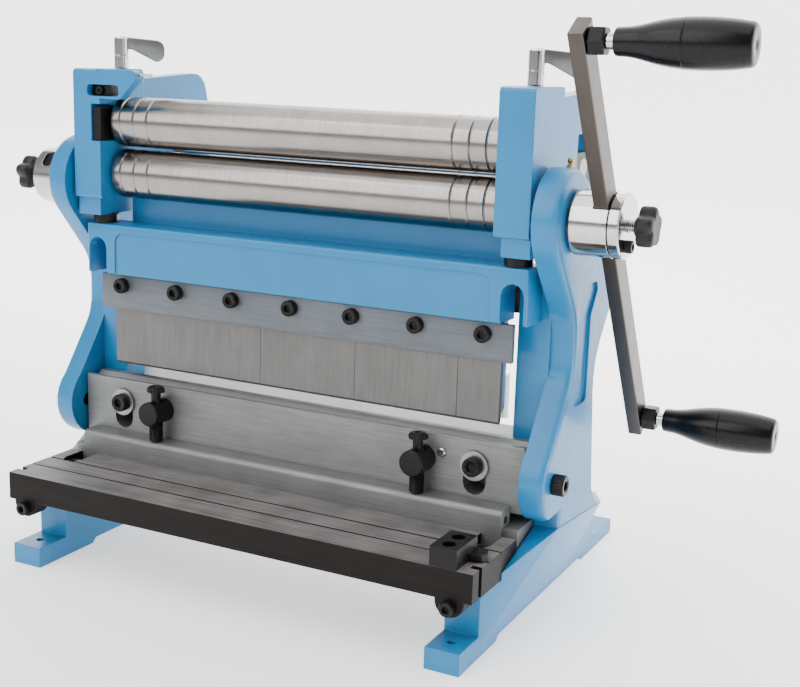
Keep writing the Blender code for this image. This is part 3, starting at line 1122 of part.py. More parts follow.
def add_lever(side, name, ram):
    """Clamping lever: post on the head, flat paddle, and the stud that reaches the block."""
    axis = empty(f"lever_axis_{name}", ram, (side * STUD_X, STUD_Y, HEAD_TOP + SEAT))
    drop = HEAD_TOP + SEAT - WINDOW_TOP
    post = turned([
        (-drop, STUD_RADIUS), (0.0, STUD_RADIUS), (0.0, LEVER_POST_RADIUS),
        (LEVER_POST_HEIGHT - BOLT_EDGE, LEVER_POST_RADIUS),
        (LEVER_POST_HEIGHT, LEVER_POST_RADIUS - BOLT_EDGE),
    ], "Z")
    lever = piece(f"clamp_lever_{name}", post, axis, CHROME)
    lever.rotation_euler.z = math.radians(LEVER_TURN_DEG)
    top = LEVER_POST_HEIGHT + LEVER_RISE
    paddle = filleted([
        (0.0, top - LEVER_ROOT, 0.0),
        (LEVER_LENGTH * LEVER_NECK_SHARE, top - LEVER_ROOT, LEVER_ROOT),
        (LEVER_LENGTH, top - LEVER_DROOP - LEVER_TIP, LEVER_TIP * LEVER_ROUND_SHARE),
        (LEVER_LENGTH, top - LEVER_DROOP, LEVER_TIP * LEVER_ROUND_SHARE),
        (0.0, top, 0.0),
    ])
    half = LEVER_THICKNESS / 2
    paddle_piece = prism(paddle, "Y", -half, half)
    fuse(lever, paddle_piece)
    lever.modifiers[-1].object.rotation_euler.z = math.radians(LEVER_TURN_DEG)


def roll_profile():
    """Working length of a pinch roll with its wire grooves near both ends."""
    marks = [ROLL_HALF - ROLL_GROOVE_FIRST - ROLL_GROOVE_PITCH * step for step in range(ROLL_GROOVES)]
    points = [(ROLL_HALF, ROLL_RADIUS - ROLL_EDGE), (ROLL_HALF - ROLL_EDGE, ROLL_RADIUS)]
    for mark in marks:
        points.append((mark + ROLL_GROOVE_HALF, ROLL_RADIUS))
        points.append((mark, ROLL_RADIUS - ROLL_GROOVE_DEPTH))
        points.append((mark - ROLL_GROOVE_HALF, ROLL_RADIUS))
    return [(-along, radius) for along, radius in points] + points[::-1]


def add_roll(name, axis, journal_left, journal_right):
    """Pinch roll with a journal at either end."""
    body = [(-journal_left, JOURNAL_RADIUS), (-ROLL_HALF, JOURNAL_RADIUS), *roll_profile(),
            (ROLL_HALF, JOURNAL_RADIUS), (journal_right, JOURNAL_RADIUS)]
    return piece(name, turned(body, "X"), axis, STEEL)


def gear(name, axis, phase_share):
    """Spur gear of the roll pair at the left end, toothed from a formula."""
    addendum = 2 * GEAR_RADIUS / GEAR_TEETH
    root = GEAR_RADIUS - addendum * GEAR_ROOT_SHARE
    tip = GEAR_RADIUS + addendum * GEAR_TIP_SHARE
    pitch = 2 * math.pi / GEAR_TEETH
    outline = []
    for tooth in range(GEAR_TEETH):
        middle = math.pi / 2 + (tooth + phase_share) * pitch
        for radius, share in ((root, -GEAR_ROOT_HALF_SHARE), (tip, -GEAR_TIP_HALF_SHARE),
                              (tip, GEAR_TIP_HALF_SHARE), (root, GEAR_ROOT_HALF_SHARE)):
            angle = middle + share * (1 - GEAR_BACKLASH_SHARE) * pitch
            outline.append((radius * math.cos(angle), radius * math.sin(angle)))
    start = GEAR_CASE_FLOOR + 2 * SEAT
    made = piece(name, prism(outline, "X", -start, -start - GEAR_WIDTH), axis, SATIN)
    through = (-start + OVERRUN, -start - GEAR_WIDTH - OVERRUN)
    cut(made, rod("X", (0.0, 0.0), JOURNAL_RADIUS + SEAT, *through))
    return made


def add_bearing_block(side, name, carrier):
    """Block that carries the upper roll in a head's window."""
    half = BLOCK_DEPTH / 2
    front = HEAD_FRONT + LEFT_BLOCK_SETBACK if side < 0 else SHAFT_Y - half
    outline = rectangle(front, SHAFT_Y + half, BLOCK_BOTTOM, BLOCK_BOTTOM + BLOCK_HEIGHT)
    low = side * (HEAD_INNER + SEAT)
    high = side * (HEAD_INNER + WINDOW_WIDTH - SEAT)
    block = piece(f"bearing_block_{name}", prism(outline, "X", low, high), carrier, BLACK)
    through = (side * (HEAD_INNER - OVERRUN), side * (HEAD_INNER + WINDOW_WIDTH + OVERRUN))
    cut(block, rod("X", (SHAFT_Y, UPPER_ROLL_Z), JOURNAL_RADIUS + RUN, *through))


def add_rear_block(side, name, carrier):
    """Block and adjusting screw that carry one end of the rear roll."""
    half = BLOCK_DEPTH / 2
    arm_outer = HEAD_OUTER - ARM_INSET
    outline = rectangle(REAR_ROLL_Y - half, REAR_ROLL_Y + half, REAR_ROLL_Z - REAR_BLOCK_BELOW,
                        REAR_ROLL_Z + REAR_BLOCK_ABOVE)
    low = side * (arm_outer - ARM_THICKNESS)
    made = piece(f"rear_block_{name}", prism(outline, "X", low, side * arm_outer), carrier, BLACK)
    knob = REAR_ROLL_Z - ARM_NOSE - REAR_TRAVEL - SEAT
    screw = turned([
        (knob - ADJUSTER_KNOB_HEIGHT, ADJUSTER_KNOB_RADIUS - BOLT_EDGE),
        (knob - ADJUSTER_KNOB_HEIGHT + BOLT_EDGE, ADJUSTER_KNOB_RADIUS),
        (knob, ADJUSTER_KNOB_RADIUS), (knob, ADJUSTER_RADIUS),
        (REAR_ROLL_Z - REAR_BLOCK_BELOW + SEAT, ADJUSTER_RADIUS),
    ], "Z", (side * (arm_outer - ARM_THICKNESS / 2), REAR_ROLL_Y))
    fuse(made, screw)
    through = (side * (arm_outer - ARM_THICKNESS - OVERRUN), side * (arm_outer + OVERRUN))
    cut(made, rod("X", (REAR_ROLL_Y, REAR_ROLL_Z), REAR_JOURNAL_RADIUS + RUN, *through))


def add_rear_roll(axis):
    """Rear forming roll, plain, on small journals."""
    end = HEAD_OUTER - ARM_INSET
    piece("rear_roll", turned([
        (-end, REAR_JOURNAL_RADIUS), (-ROLL_HALF, REAR_JOURNAL_RADIUS),
        (-ROLL_HALF, REAR_ROLL_RADIUS - ROLL_EDGE), (-ROLL_HALF + ROLL_EDGE, REAR_ROLL_RADIUS),
        (ROLL_HALF - ROLL_EDGE, REAR_ROLL_RADIUS), (ROLL_HALF, REAR_ROLL_RADIUS - ROLL_EDGE),
        (ROLL_HALF, REAR_JOURNAL_RADIUS), (end, REAR_JOURNAL_RADIUS),
    ], "X"), axis, STEEL)


def slanted(along, across):
    """A point of the crank bar's plane: distance up the bar and across it, as (Y, Z)."""
    tilt = math.radians(BAR_TILT_DEG)
    return (-along * math.sin(tilt) + across * math.cos(tilt),
            along * math.cos(tilt) + across * math.sin(tilt))


def add_crank(crank):
    """Hub, end ring, cap screw and the bar that passes through the hub."""
    hub = piece("crank_hub", turned([
        (FRAME_INNER - SHAFT_REACH, SHAFT_RADIUS), (HUB_START, SHAFT_RADIUS),
        (HUB_START, HUB_RADIUS - BOLT_EDGE), (HUB_START + BOLT_EDGE, HUB_RADIUS),
        (HUB_END, HUB_RADIUS),
    ], "X", (0.0, 0.0), FINE_STEPS), crank, CHROME)
    half = BAR_WIDTH / 2 + SEAT
    reach = HUB_RADIUS + OVERRUN
    groove = [slanted(-reach, -half), slanted(-reach, half), slanted(reach, half),
              slanted(reach, -half)]
    cut(hub, prism(groove, "X", BAR_START - SEAT, HUB_END + OVERRUN))
    ring = rod("X", (0.0, 0.0), HUB_RADIUS, RING_START, RING_END, FINE_STEPS, BOLT_EDGE)
    made = piece("end_ring", ring, crank, CHROME)
    stud_hole = (RING_END - KNOB_STUD_BITE - SEAT, RING_END + OVERRUN)
    cut(made, rod("X", (0.0, 0.0), KNOB_STUD_RADIUS + SEAT, *stud_hole, SMALL_STEPS))
    screw_place = (-CAP_SCREW_OFFSET * CAP_SCREW_LEAN_SHARE, -CAP_SCREW_OFFSET)
    screw_hole = (RING_END - CAP_SCREW_BITE - SEAT, RING_END + OVERRUN)
    cut(made, rod("X", screw_place, CAP_SCREW_CORE + SEAT, *screw_hole, SMALL_STEPS))
    seat = RING_END + SEAT
    piece("cap_screw", turned([
        (RING_END - CAP_SCREW_BITE, CAP_SCREW_CORE), (seat, CAP_SCREW_CORE),
        (seat, CAP_SCREW_RADIUS), (seat + CAP_SCREW_HEIGHT, CAP_SCREW_RADIUS),
    ], "X", screw_place, SMALL_STEPS), crank, BLACK)
    half = BAR_WIDTH / 2
    outline = [slanted(-BAR_DOWN, -half), slanted(-BAR_DOWN, half), slanted(BAR_UP, half),
               slanted(BAR_UP, -half)]
    bar = piece("crank_bar", prism(outline, "X", BAR_START, HUB_END, BAR_EDGE, BAR_EDGE), crank, SATIN)
    for along in (GRIP_UP, -GRIP_DOWN):
        through = (BAR_START - OVERRUN, HUB_END + OVERRUN)
        cut(bar, rod("X", slanted(along, 0.0), GRIP_PIN_RADIUS + SEAT, *through, SMALL_STEPS))


def add_grip(name, along, crank):
    """Handle pin with its nut, and the turned grip that spins on it."""
    place = slanted(along, 0.0)
    nut_start = HUB_END + SEAT
    pin = piece(f"handle_pin_{name}", turned([
        (BAR_START, GRIP_PIN_RADIUS), (GRIP_BASE + GRIP_LENGTH * PIN_LENGTH_SHARE, GRIP_PIN_RADIUS),
    ], "X", place, SMALL_STEPS), crank, BLACK)
    nut = rod("X", place, NUT_RADIUS, nut_start, GRIP_BASE - SEAT, NUT_SIDES, BOLT_EDGE)
    fuse(pin, nut)
    axis = empty(f"grip_axis_{name}", crank, (GRIP_BASE, *place))
    profile = [(GRIP_LENGTH * a, GRIP_RADIUS * r) for a, r in GRIP_SHARES]
    grip = piece(f"grip_{name}", turned(profile, "X"), axis, GLOSS)
    bored = (-OVERRUN, GRIP_LENGTH * PIN_LENGTH_SHARE + SEAT)
    cut(grip, rod("X", (0.0, 0.0), GRIP_PIN_RADIUS + RUN, *bored, SMALL_STEPS))


def add_collar(crank):
    """Collar on the left shaft end, with a window milled into its side."""
    collar = piece("shaft_collar", turned([
        (-FRAME_INNER + SHAFT_REACH, SHAFT_RADIUS), (-HUB_START, SHAFT_RADIUS),
        (-HUB_START, HUB_RADIUS - BOLT_EDGE), (-HUB_START - BOLT_EDGE, HUB_RADIUS),
        (-COLLAR_END + BOLT_EDGE, HUB_RADIUS), (-COLLAR_END, HUB_RADIUS - BOLT_EDGE),
    ], "X", (0.0, 0.0), FINE_STEPS), crank, CHROME)
    middle = -(HUB_START + COLLAR_END) / 2
    window = rectangle(middle - COLLAR_WINDOW_LENGTH / 2, middle + COLLAR_WINDOW_LENGTH / 2,
                       -COLLAR_WINDOW_HEIGHT / 2, COLLAR_WINDOW_HEIGHT / 2,
                       COLLAR_WINDOW_CORNER)
    cut(collar, prism(window, "Y", -HUB_RADIUS - OVERRUN, -HUB_RADIUS + COLLAR_WINDOW_DEPTH))
    stud_hole = (-COLLAR_END + KNOB_STUD_BITE + SEAT, -COLLAR_END - OVERRUN)
    cut(collar, rod("X", (0.0, 0.0), KNOB_STUD_RADIUS + SEAT, *stud_hole, SMALL_STEPS))


def add_star_knob(side, name, face, shown, crank):
    """Lobed hand knob on a threaded stud at one end of the shaft."""
    axis = empty(f"knob_axis_{name}", crank, (side * face, 0.0, 0.0))
    outline = []
    steps = KNOB_LOBES * KNOB_LOBE_POINTS
    for step in range(steps):
        angle = 2 * math.pi * step / steps
        wave = (1 + math.cos(KNOB_LOBES * angle)) / 2
        radius = KNOB_RADIUS * (1 - KNOB_WAVE_SHARE + KNOB_WAVE_SHARE * wave)
        outline.append((radius * math.cos(angle), radius * math.sin(angle)))
    low = shown + KNOB_NECK_LENGTH
    head = prism(outline, "X", side * low, side * (low + KNOB_LENGTH), BOLT_EDGE, BOLT_EDGE)
    knob = piece(f"star_knob_{name}", head, axis, MATT)
    neck = (side * shown, side * (low + BOLT_EDGE))
    stud = (side * -KNOB_STUD_BITE, side * (shown + BOLT_EDGE))
    fuse(knob, rod("X", (0.0, 0.0), KNOB_NECK_RADIUS, *neck, SMALL_STEPS))
    fuse(knob, rod("X", (0.0, 0.0), KNOB_STUD_RADIUS, *stud, SMALL_STEPS))


def main():
    clear_scene()
    machine = empty("machine", None, (-CENTRE_X, -CENTRE_Y, 0.0))
    table = empty("table_slide", machine)
    die = empty("die_slide", machine)
    ram = empty("ram_slide", machine)
    nip = empty("nip_slide", ram)
    carriage = empty("rear_roll_slide", ram)
    crank = empty("crank_axis", machine, (0.0, SHAFT_Y, SHAFT_Z))
    lower_axis = empty("lower_roll_axis", ram, (0.0, SHAFT_Y, LOWER_ROLL_Z))
    upper_axis = empty("upper_roll_axis", nip, (0.0, SHAFT_Y, UPPER_ROLL_Z))
    rear_axis = empty("rear_roll_axis", carriage, (0.0, REAR_ROLL_Y, REAR_ROLL_Z))
    add_bed(machine)
    add_blades(machine, ram)
    add_table(table)
    add_side_stop(table)
    add_die(machine, die)
    add_ram(ram)
    add_punch(ram)
    for side, name in ((-1, "left"), (1, "right")):
        add_side_frame(side, name, machine)
        add_frame_fittings(side, name, machine)
        add_table_fittings(side, name, machine, table)
        add_jack(side, name, machine)
        add_head(side, name, ram)
        add_lever(side, name, ram)
        add_bearing_block(side, name, nip)
        add_rear_block(side, name, carriage)
    journal_end = HEAD_OUTER - 2 * SEAT
    add_roll("lower_roll", lower_axis, journal_end, journal_end)
    add_roll("upper_roll", upper_axis, journal_end, HEAD_INNER + WINDOW_WIDTH - SEAT)
    add_rear_roll(rear_axis)
    gear("gear_lower", lower_axis, 0.0)
    gear("gear_upper", upper_axis, GEAR_MESH_PHASE)
    add_crank(crank)
    add_grip("top", GRIP_UP, crank)
    add_grip("bottom", -GRIP_DOWN, crank)
    add_collar(crank)
    add_star_knob(1, "right", RING_END, RIGHT_STUD_SHOWN, crank)
    add_star_knob(-1, "left", COLLAR_END, LEFT_STUD_SHOWN, crank)


main()
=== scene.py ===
"""Looks of the combination sheet metal machine: enamelled castings, ground rolls, turned fittings.

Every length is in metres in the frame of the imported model: X along the rolls, Y from the front of
the machine to its rear, and Z up from the bench.
"""

import json
import logging
import math
from dataclasses import dataclass, field
from enum import Enum
from typing import Callable, Sequence

import bmesh
import bpy
from mathutils import Matrix, Vector


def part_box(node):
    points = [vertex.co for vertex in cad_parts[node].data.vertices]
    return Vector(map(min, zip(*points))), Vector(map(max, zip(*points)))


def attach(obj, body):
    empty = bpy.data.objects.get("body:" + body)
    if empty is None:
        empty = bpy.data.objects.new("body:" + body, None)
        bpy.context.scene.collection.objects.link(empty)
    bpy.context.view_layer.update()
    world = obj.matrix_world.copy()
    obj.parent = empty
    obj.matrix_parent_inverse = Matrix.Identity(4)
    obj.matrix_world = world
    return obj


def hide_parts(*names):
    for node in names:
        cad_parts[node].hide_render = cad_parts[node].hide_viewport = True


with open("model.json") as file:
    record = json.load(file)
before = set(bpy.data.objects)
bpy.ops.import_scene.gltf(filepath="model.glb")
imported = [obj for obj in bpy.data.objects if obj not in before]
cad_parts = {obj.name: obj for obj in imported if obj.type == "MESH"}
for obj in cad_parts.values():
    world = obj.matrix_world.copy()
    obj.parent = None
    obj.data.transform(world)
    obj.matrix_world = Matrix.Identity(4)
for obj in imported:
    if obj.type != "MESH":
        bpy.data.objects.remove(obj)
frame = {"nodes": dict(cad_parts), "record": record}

Tree = bpy.types.NodeTree
Socket = bpy.types.NodeSocket
Shape = bmesh.types.BMesh
Piece = bpy.types.Object

LOG = logging.getLogger("sheet_metal_machine")
MM = 0.001
SIDES = ("left", "right")
# Degrees about X that bring the left collar's window up from the front, as the photograph shows it
COLLAR_TURN = -43.0
# Vertices nearer than this in metres are one, and faces nearer than this in degrees are one face
WELD = 2e-6
FLAT = 0.4
# Rounding of the small loose blocks
EDGE = 0.4 * MM


class Body(Enum):
    """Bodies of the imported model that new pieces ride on."""

    BASE = "base"
    TABLE = "table"
    RAM = "ram"
    CARRIAGE = "rear_carriage"
    CRANK = "crank"


class Axis(Enum):
    """Directions that a turned or extruded piece may point in, as turns about X, Y and Z."""

    UP = (0.0, 0.0, 0.0)
    FRONT = (math.pi / 2, 0.0, 0.0)
    REAR = (-math.pi / 2, 0.0, 0.0)
    RIGHT = (0.0, math.pi / 2, 0.0)
    LEFT = (0.0, -math.pi / 2, 0.0)

    def matrix(self) -> Matrix:
        """Rotation that takes +Z to this direction."""
        x, y, z = self.value
        return Matrix.Rotation(z, 4, "Z") @ Matrix.Rotation(y, 4, "Y") @ Matrix.Rotation(x, 4, "X")


def linear(colour: str) -> tuple[float, float, float, float]:
    """Turns an sRGB hex colour into linear values.

    Args:
        colour: six hex digits after a hash sign.

    Returns:
        Linear red, green, blue and an alpha of one.
    """
    values = []
    for start in (1, 3, 5):
        share = int(colour[start:start + 2], 16) / 255
        values.append(share / 12.92 if share <= 0.04045 else ((share + 0.055) / 1.055) ** 2.4)
    return (values[0], values[1], values[2], 1.0)


def add_node(tree: Tree, kind: str, inputs: dict | None = None,
             **attributes: object) -> bpy.types.Node:
    """Adds a node with its settings and its links.

    Args:
        tree: the node tree to add to.
        kind: the node's type name.
        inputs: sockets to link, or values to set, by the input's name or number.
        attributes: settings of the node itself.

    Returns:
        The new node.
    """
    made = tree.nodes.new(kind)
    for name, value in attributes.items():
        setattr(made, name, value)
    for key, value in (inputs or {}).items():
        if isinstance(value, Socket):
            tree.links.new(value, made.inputs[key])
        else:
            made.inputs[key].default_value = value
    return made


def ranged(tree: Tree, value: Socket, low: float, high: float,
           start: float = 0.0, end: float = 1.0, kind: str = "LINEAR") -> Socket:
    """Value that runs from start to end while another runs from low to high."""
    return add_node(tree, "ShaderNodeMapRange", {
        "Value": value, "From Min": low, "From Max": high, "To Min": start, "To Max": end,
    }, interpolation_type=kind).outputs[0]


def mixed(tree: Tree, share: object, first: object, second: object) -> Socket:
    """Colour between two colours."""
    return add_node(tree, "ShaderNodeMix", {0: share, 6: first, 7: second},
                    data_type="RGBA").outputs[2]


def noise(tree: Tree, place: Socket, scale: float, detail: float) -> Socket:
    """Noise at a place."""
    return add_node(tree, "ShaderNodeTexNoise", {
        "Vector": place, "Scale": scale, "Detail": detail,
    }).outputs[0]


@dataclass(frozen=True)
class Grain:
    """Marks that a tool or a mould leaves on a surface.

    Attributes:
        spacing: distance between marks along X, Y and Z in mm; a long value draws a streak.
        depth: height of the marks in mm.
        tone: how far the marks shade the colour, from 0 to 1.
        turn: degrees the pattern is turned about X.
    """

    spacing: tuple[float, float, float]
    depth: float
    tone: float
    turn: float = 0.0


@dataclass(frozen=True)
class Finish:
    """One surface: what it is made of, how it was worked, and how it has worn.

    Attributes:
        name: the real material's common name.
        slot: the record's material slot; not used.
        colour: main colour.
        shade: second colour, in soft patches and in the marks.
        metallic: 1 for bare metal, 0 for paint and plastic.
        roughness: middle roughness.
        spread: how far roughness varies either way.
        grain: marks of the tool or mould.
        patch: width of the soft patches in mm.
        wave: width of the surface's waviness in mm.
        wave_depth: height of that waviness in mm.
        edge: radius that edges are softened to in mm.
        rub_and_highlight_colour: colour of the edges, partly rubbed wear and partly a painted
            highlight.
        rub_and_highlight_share: how far the edges take that colour, from 0 to 1.
        coat: weight of a clear gloss layer.
        shine: strength of the surface's own reflection, 0.5 for common plastics and paints.
        top: colour of upward faces where it differs, else None.
    """

    name: str
    slot: str
    colour: str
    shade: str
    metallic: float
    roughness: float
    spread: float
    grain: Grain
    patch: float
    wave: float
    wave_depth: float
    edge: float
    rub_and_highlight_colour: str
    rub_and_highlight_share: float
    coat: float = 0.0
    shine: float = 0.5
    top: str | None = None

    def material(self) -> bpy.types.Material:
        """The finish as a node material, made once."""
        found = bpy.data.materials.get(self.name)
        return found if found else self._build()

    def _build(self) -> bpy.types.Material:
        """Builds the node tree of the finish."""
        made = bpy.data.materials.new(self.name)
        made.use_nodes = True
        tree = made.node_tree
        tree.nodes.clear()
        place = add_node(tree, "ShaderNodeTexCoord").outputs["Object"]
        marks = self._marks(tree, place)
        patches = noise(tree, place, 1 / (self.patch * MM), 3.0)
        soft = self._soft_normal(tree)
        colour = self._colour(tree, marks, patches, soft)
        rough = ranged(tree, marks, 0.3, 0.7, self.roughness - self.spread,
                       self.roughness + self.spread)
        normal = self._bumps(tree, place, marks, soft)
        shader = add_node(tree, "ShaderNodeBsdfPrincipled", {
            "Base Color": colour, "Metallic": self.metallic, "Roughness": rough,
            "Normal": normal, "Coat Weight": self.coat, "Coat Roughness": 0.12,
            "Specular IOR Level": self.shine,
        })
        add_node(tree, "ShaderNodeOutputMaterial", {"Surface": shader.outputs[0]})
        return made

    def _marks(self, tree: Tree, place: Socket) -> Socket:
        """Noise drawn out along the direction of the tool's marks."""
        turned = add_node(tree, "ShaderNodeMapping", {
            "Vector": place, "Rotation": (math.radians(self.grain.turn), 0.0, 0.0),
        }).outputs[0]
        scaled = add_node(tree, "ShaderNodeMapping", {
            "Vector": turned, "Scale": tuple(1 / (size * MM) for size in self.grain.spacing),
        }).outputs[0]
        return noise(tree, scaled, 1.0, 2.0)

    def _soft_normal(self, tree: Tree) -> Socket:
        """Normal with every edge rounded to the finish's edge radius."""
        return add_node(tree, "ShaderNodeBevel", {"Radius": self.edge * MM},
                        samples=4).outputs[0]

    def _colour(self, tree: Tree, marks: Socket,
                patches: Socket, soft: Socket) -> Socket:
        """Main colour with patches, tool marks, a separate top and edges lightened as wear and
        painted highlight.
        """
        drift = ranged(tree, patches, 0.38, 0.68)
        lined = ranged(tree, marks, 0.4, 0.75, 0.0, self.grain.tone)
        plain = linear(self.colour)
        facing = add_node(tree, "ShaderNodeNewGeometry")
        if self.top:
            upward = add_node(tree, "ShaderNodeSeparateXYZ", {0: facing.outputs["Normal"]})
            plain = mixed(tree, ranged(tree, upward.outputs[2], 0.6, 0.9), plain,
                          linear(self.top))
        shade = linear(self.shade)
        half = mixed(tree, 0.35, plain, mixed(tree, drift, plain, shade))
        marked = mixed(tree, lined, half, shade)
        # Edges are lightened: partly rubbed wear, partly a painted highlight along them
        turn = add_node(tree, "ShaderNodeVectorMath", {
            0: soft, 1: facing.outputs["Normal"],
        }, operation="DOT_PRODUCT").outputs[1]
        edge = ranged(tree, turn, 0.97, 0.80, 0.0, self.rub_and_highlight_share)
        rub_and_highlight_mask = add_node(tree, "ShaderNodeMath", {0: edge, 1: patches},
                          operation="MULTIPLY").outputs[0]
        return mixed(tree, rub_and_highlight_mask, marked, linear(self.rub_and_highlight_colour))

    def _bumps(self, tree: Tree, place: Socket,
               marks: Socket, soft: Socket) -> Socket:
        """Tool marks and waviness on top of the softened normal."""
        waves = noise(tree, place, 1 / (self.wave * MM), 1.0)
        fine = add_node(tree, "ShaderNodeBump", {
            "Height": marks, "Distance": self.grain.depth * MM, "Normal": soft,
        }).outputs[0]
        return add_node(tree, "ShaderNodeBump", {
            "Height": waves, "Distance": self.wave_depth * MM, "Normal": fine,
        }).outputs[0]


# Sprayed enamel on a rough casting: soft gloss, slight orange peel, lighter blue edges as wear and
# painted highlight
BLUE = Finish("sprayed_enamel_on_cast_iron", "blue_paint", "#1678ae", "#126b9e", 0.0, 0.36, 0.05,
              Grain((3.2, 3.2, 3.2), 0.05, 0.10), 38.0, 11.0, 0.16, 1.1, "#6fa9c9", 0.35, 0.12,
              0.35)
# Ground cast iron and mild steel: dull grey, long fine scratches along the length of the machine
IRON = Finish("ground_cast_iron", "machined_iron", "#868887", "#6b6d6c", 0.65, 0.52, 0.07,
              Grain((26.0, 0.7, 0.7), 0.012, 0.55), 24.0, 16.0, 0.03, 0.5, "#b9bab8", 0.4)
# Ground flat bar of the clamp: a shade darker and bluer than the castings
BAR_STOCK = Finish("ground_flat_bar_steel", "machined_iron", "#666b71", "#565b60", 0.65, 0.50,
                   0.07, Grain((26.0, 0.7, 0.7), 0.012, 0.55), 24.0, 16.0, 0.03, 0.5,
                   "#b9bab8", 0.4)
# Ground tool steel punches: a little brighter than the bar that holds them
PUNCH = Finish("ground_tool_steel", "machined_iron", "#6d6c6b", "#5c5b5a", 0.8, 0.46, 0.06,
               Grain((0.9, 0.9, 22.0), 0.008, 0.4), 30.0, 18.0, 0.02, 0.4, "#c4c4c2", 0.4)
# Oiled table: milled grey-brown top with fine lines, brown-black edges
TABLE = Finish("oiled_milled_table_iron", "dark_paint", "#140f0d", "#0d0a09", 0.0, 0.5, 0.08,
               Grain((60.0, 1.3, 1.3), 0.03, 0.45), 30.0, 20.0, 0.03, 0.6, "#6f6762", 0.5,
               0.0, 0.15, "#787573")
# Turned and ground roll steel: bright, with fine rings round the axis drawn at 0.5 mm to show
ROLL = Finish("ground_roll_steel", "polished_steel", "#948f8b", "#78736f", 1.0, 0.22, 0.05,
              Grain((0.5, 60.0, 60.0), 0.004, 0.35), 20.0, 30.0, 0.01, 0.4, "#dedbd6", 0.2)
# Ground blade steel with scratches along the cutting edge
BLADE = Finish("ground_blade_steel", "polished_steel", "#b8b6b3", "#95938f", 1.0, 0.28, 0.05,
               Grain((30.0, 0.6, 0.6), 0.006, 0.4), 26.0, 20.0, 0.01, 0.3, "#dcdad6", 0.3)
# Cold-drawn bar, brushed along its length, warm grey
BAR = Finish("brushed_drawn_steel", "satin_steel", "#544e4a", "#443f3c", 1.0, 0.36, 0.06,
             Grain((0.5, 0.5, 30.0), 0.006, 0.45, 32.7), 22.0, 18.0, 0.02, 0.5, "#bcb6b0", 0.4)
# Cut gear and lever steel, satin, with no single direction
SATIN = Finish("satin_turned_steel", "satin_steel", "#8c8e8d", "#737574", 1.0, 0.32, 0.05,
               Grain((2.2, 2.2, 2.2), 0.006, 0.3), 16.0, 12.0, 0.02, 0.4, "#cdcdca", 0.3)
# Chrome plate over turned steel: near mirror, faint turning rings
CHROME = Finish("chrome_plated_steel", "chrome", "#c9c7c5", "#b0aeac", 1.0, 0.12, 0.03,
                Grain((0.6, 40.0, 40.0), 0.003, 0.2), 14.0, 10.0, 0.008, 0.5, "#efeeec", 0.2)
# Turned brass, slightly dulled
BRASS = Finish("turned_brass", "brass", "#c09a58", "#9a7840", 1.0, 0.27, 0.05,
               Grain((0.7, 0.7, 0.7), 0.006, 0.35), 8.0, 6.0, 0.01, 0.3, "#dcc08a", 0.3)
# Chemically blackened steel: near black, oily sheen, bare metal on rubbed edges
BLACK = Finish("blackened_steel", "black_oxide", "#171516", "#0f0d0e", 0.4, 0.38, 0.07,
               Grain((1.4, 1.4, 1.4), 0.012, 0.4), 12.0, 8.0, 0.02, 0.35, "#6a6866", 0.45,
               0.0, 0.3)
# Moulded thermoset knobs: fine matt skin
MATT = Finish("moulded_phenolic", "matte_black_plastic", "#1c1c1d", "#141415", 0.0, 0.46, 0.06,
              Grain((0.8, 0.8, 0.8), 0.012, 0.3), 9.0, 7.0, 0.02, 0.8, "#353536", 0.3,
              0.0, 0.3)
# Polished moulded grips: deep gloss black
GLOSS = Finish("polished_moulded_plastic", "gloss_black_plastic", "#080708", "#050506", 0.0, 0.26,
               0.03, Grain((6.0, 2.5, 2.5), 0.006, 0.2), 18.0, 14.0, 0.03, 0.8, "#1c1c1d", 0.2,
               0.0, 0.22)

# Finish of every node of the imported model; a star stands for left and right
CARRIED: tuple[tuple[Finish, str], ...] = (
    (BLUE, "side_frame_* ram head_*"),
    (IRON, "bed die_plate"),
    (BAR_STOCK, "clamp_bar"),
    (PUNCH, "punch_1 punch_2 punch_3 punch_4"),
    (TABLE, "table"),
    (ROLL, "lower_roll upper_roll rear_roll"),
    (BLADE, "lower_blade upper_blade"),
    (BAR, "crank_bar"),
    (SATIN, "gear_lower gear_upper die_washer_*"),
    (CHROME, "crank_hub end_ring shaft_collar die_dowel clamp_lever_*"),
    (BRASS, "bush_* oil_nipple_*"),
    (BLACK, "table_bolt_* die_bolt_* frame_bolt_* side_stop push_screw_* jack_boss_* "
            "jack_screw_* head_stud_* bearing_block_* rear_block_* cap_screw "
            "handle_pin_top handle_pin_bottom"),
    (MATT, "star_knob_*"),
    (GLOSS, "grip_top grip_bottom"),
)

# Nodes that are shown as merged copies with smooth curved faces
RECAST = ("side_frame_* ram head_* bed die_plate table crank_hub end_ring shaft_collar crank_bar "
          "jack_boss_* die_washer_* die_dowel side_stop head_stud_* bush_* handle_pin_top "
          "handle_pin_bottom")


def spelled(names: str) -> list[str]:
    """Node names from a line of them, with each star spelled out as left and right."""
    return [name.replace("*", side) for name in names.split()
            for side in (SIDES if "*" in name else ("",))]


def dress_nodes() -> None:
    """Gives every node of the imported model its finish."""
    for finish, names in CARRIED:
        for name in spelled(names):
            for slot in frame["nodes"][name].material_slots:
                slot.material = finish.material()


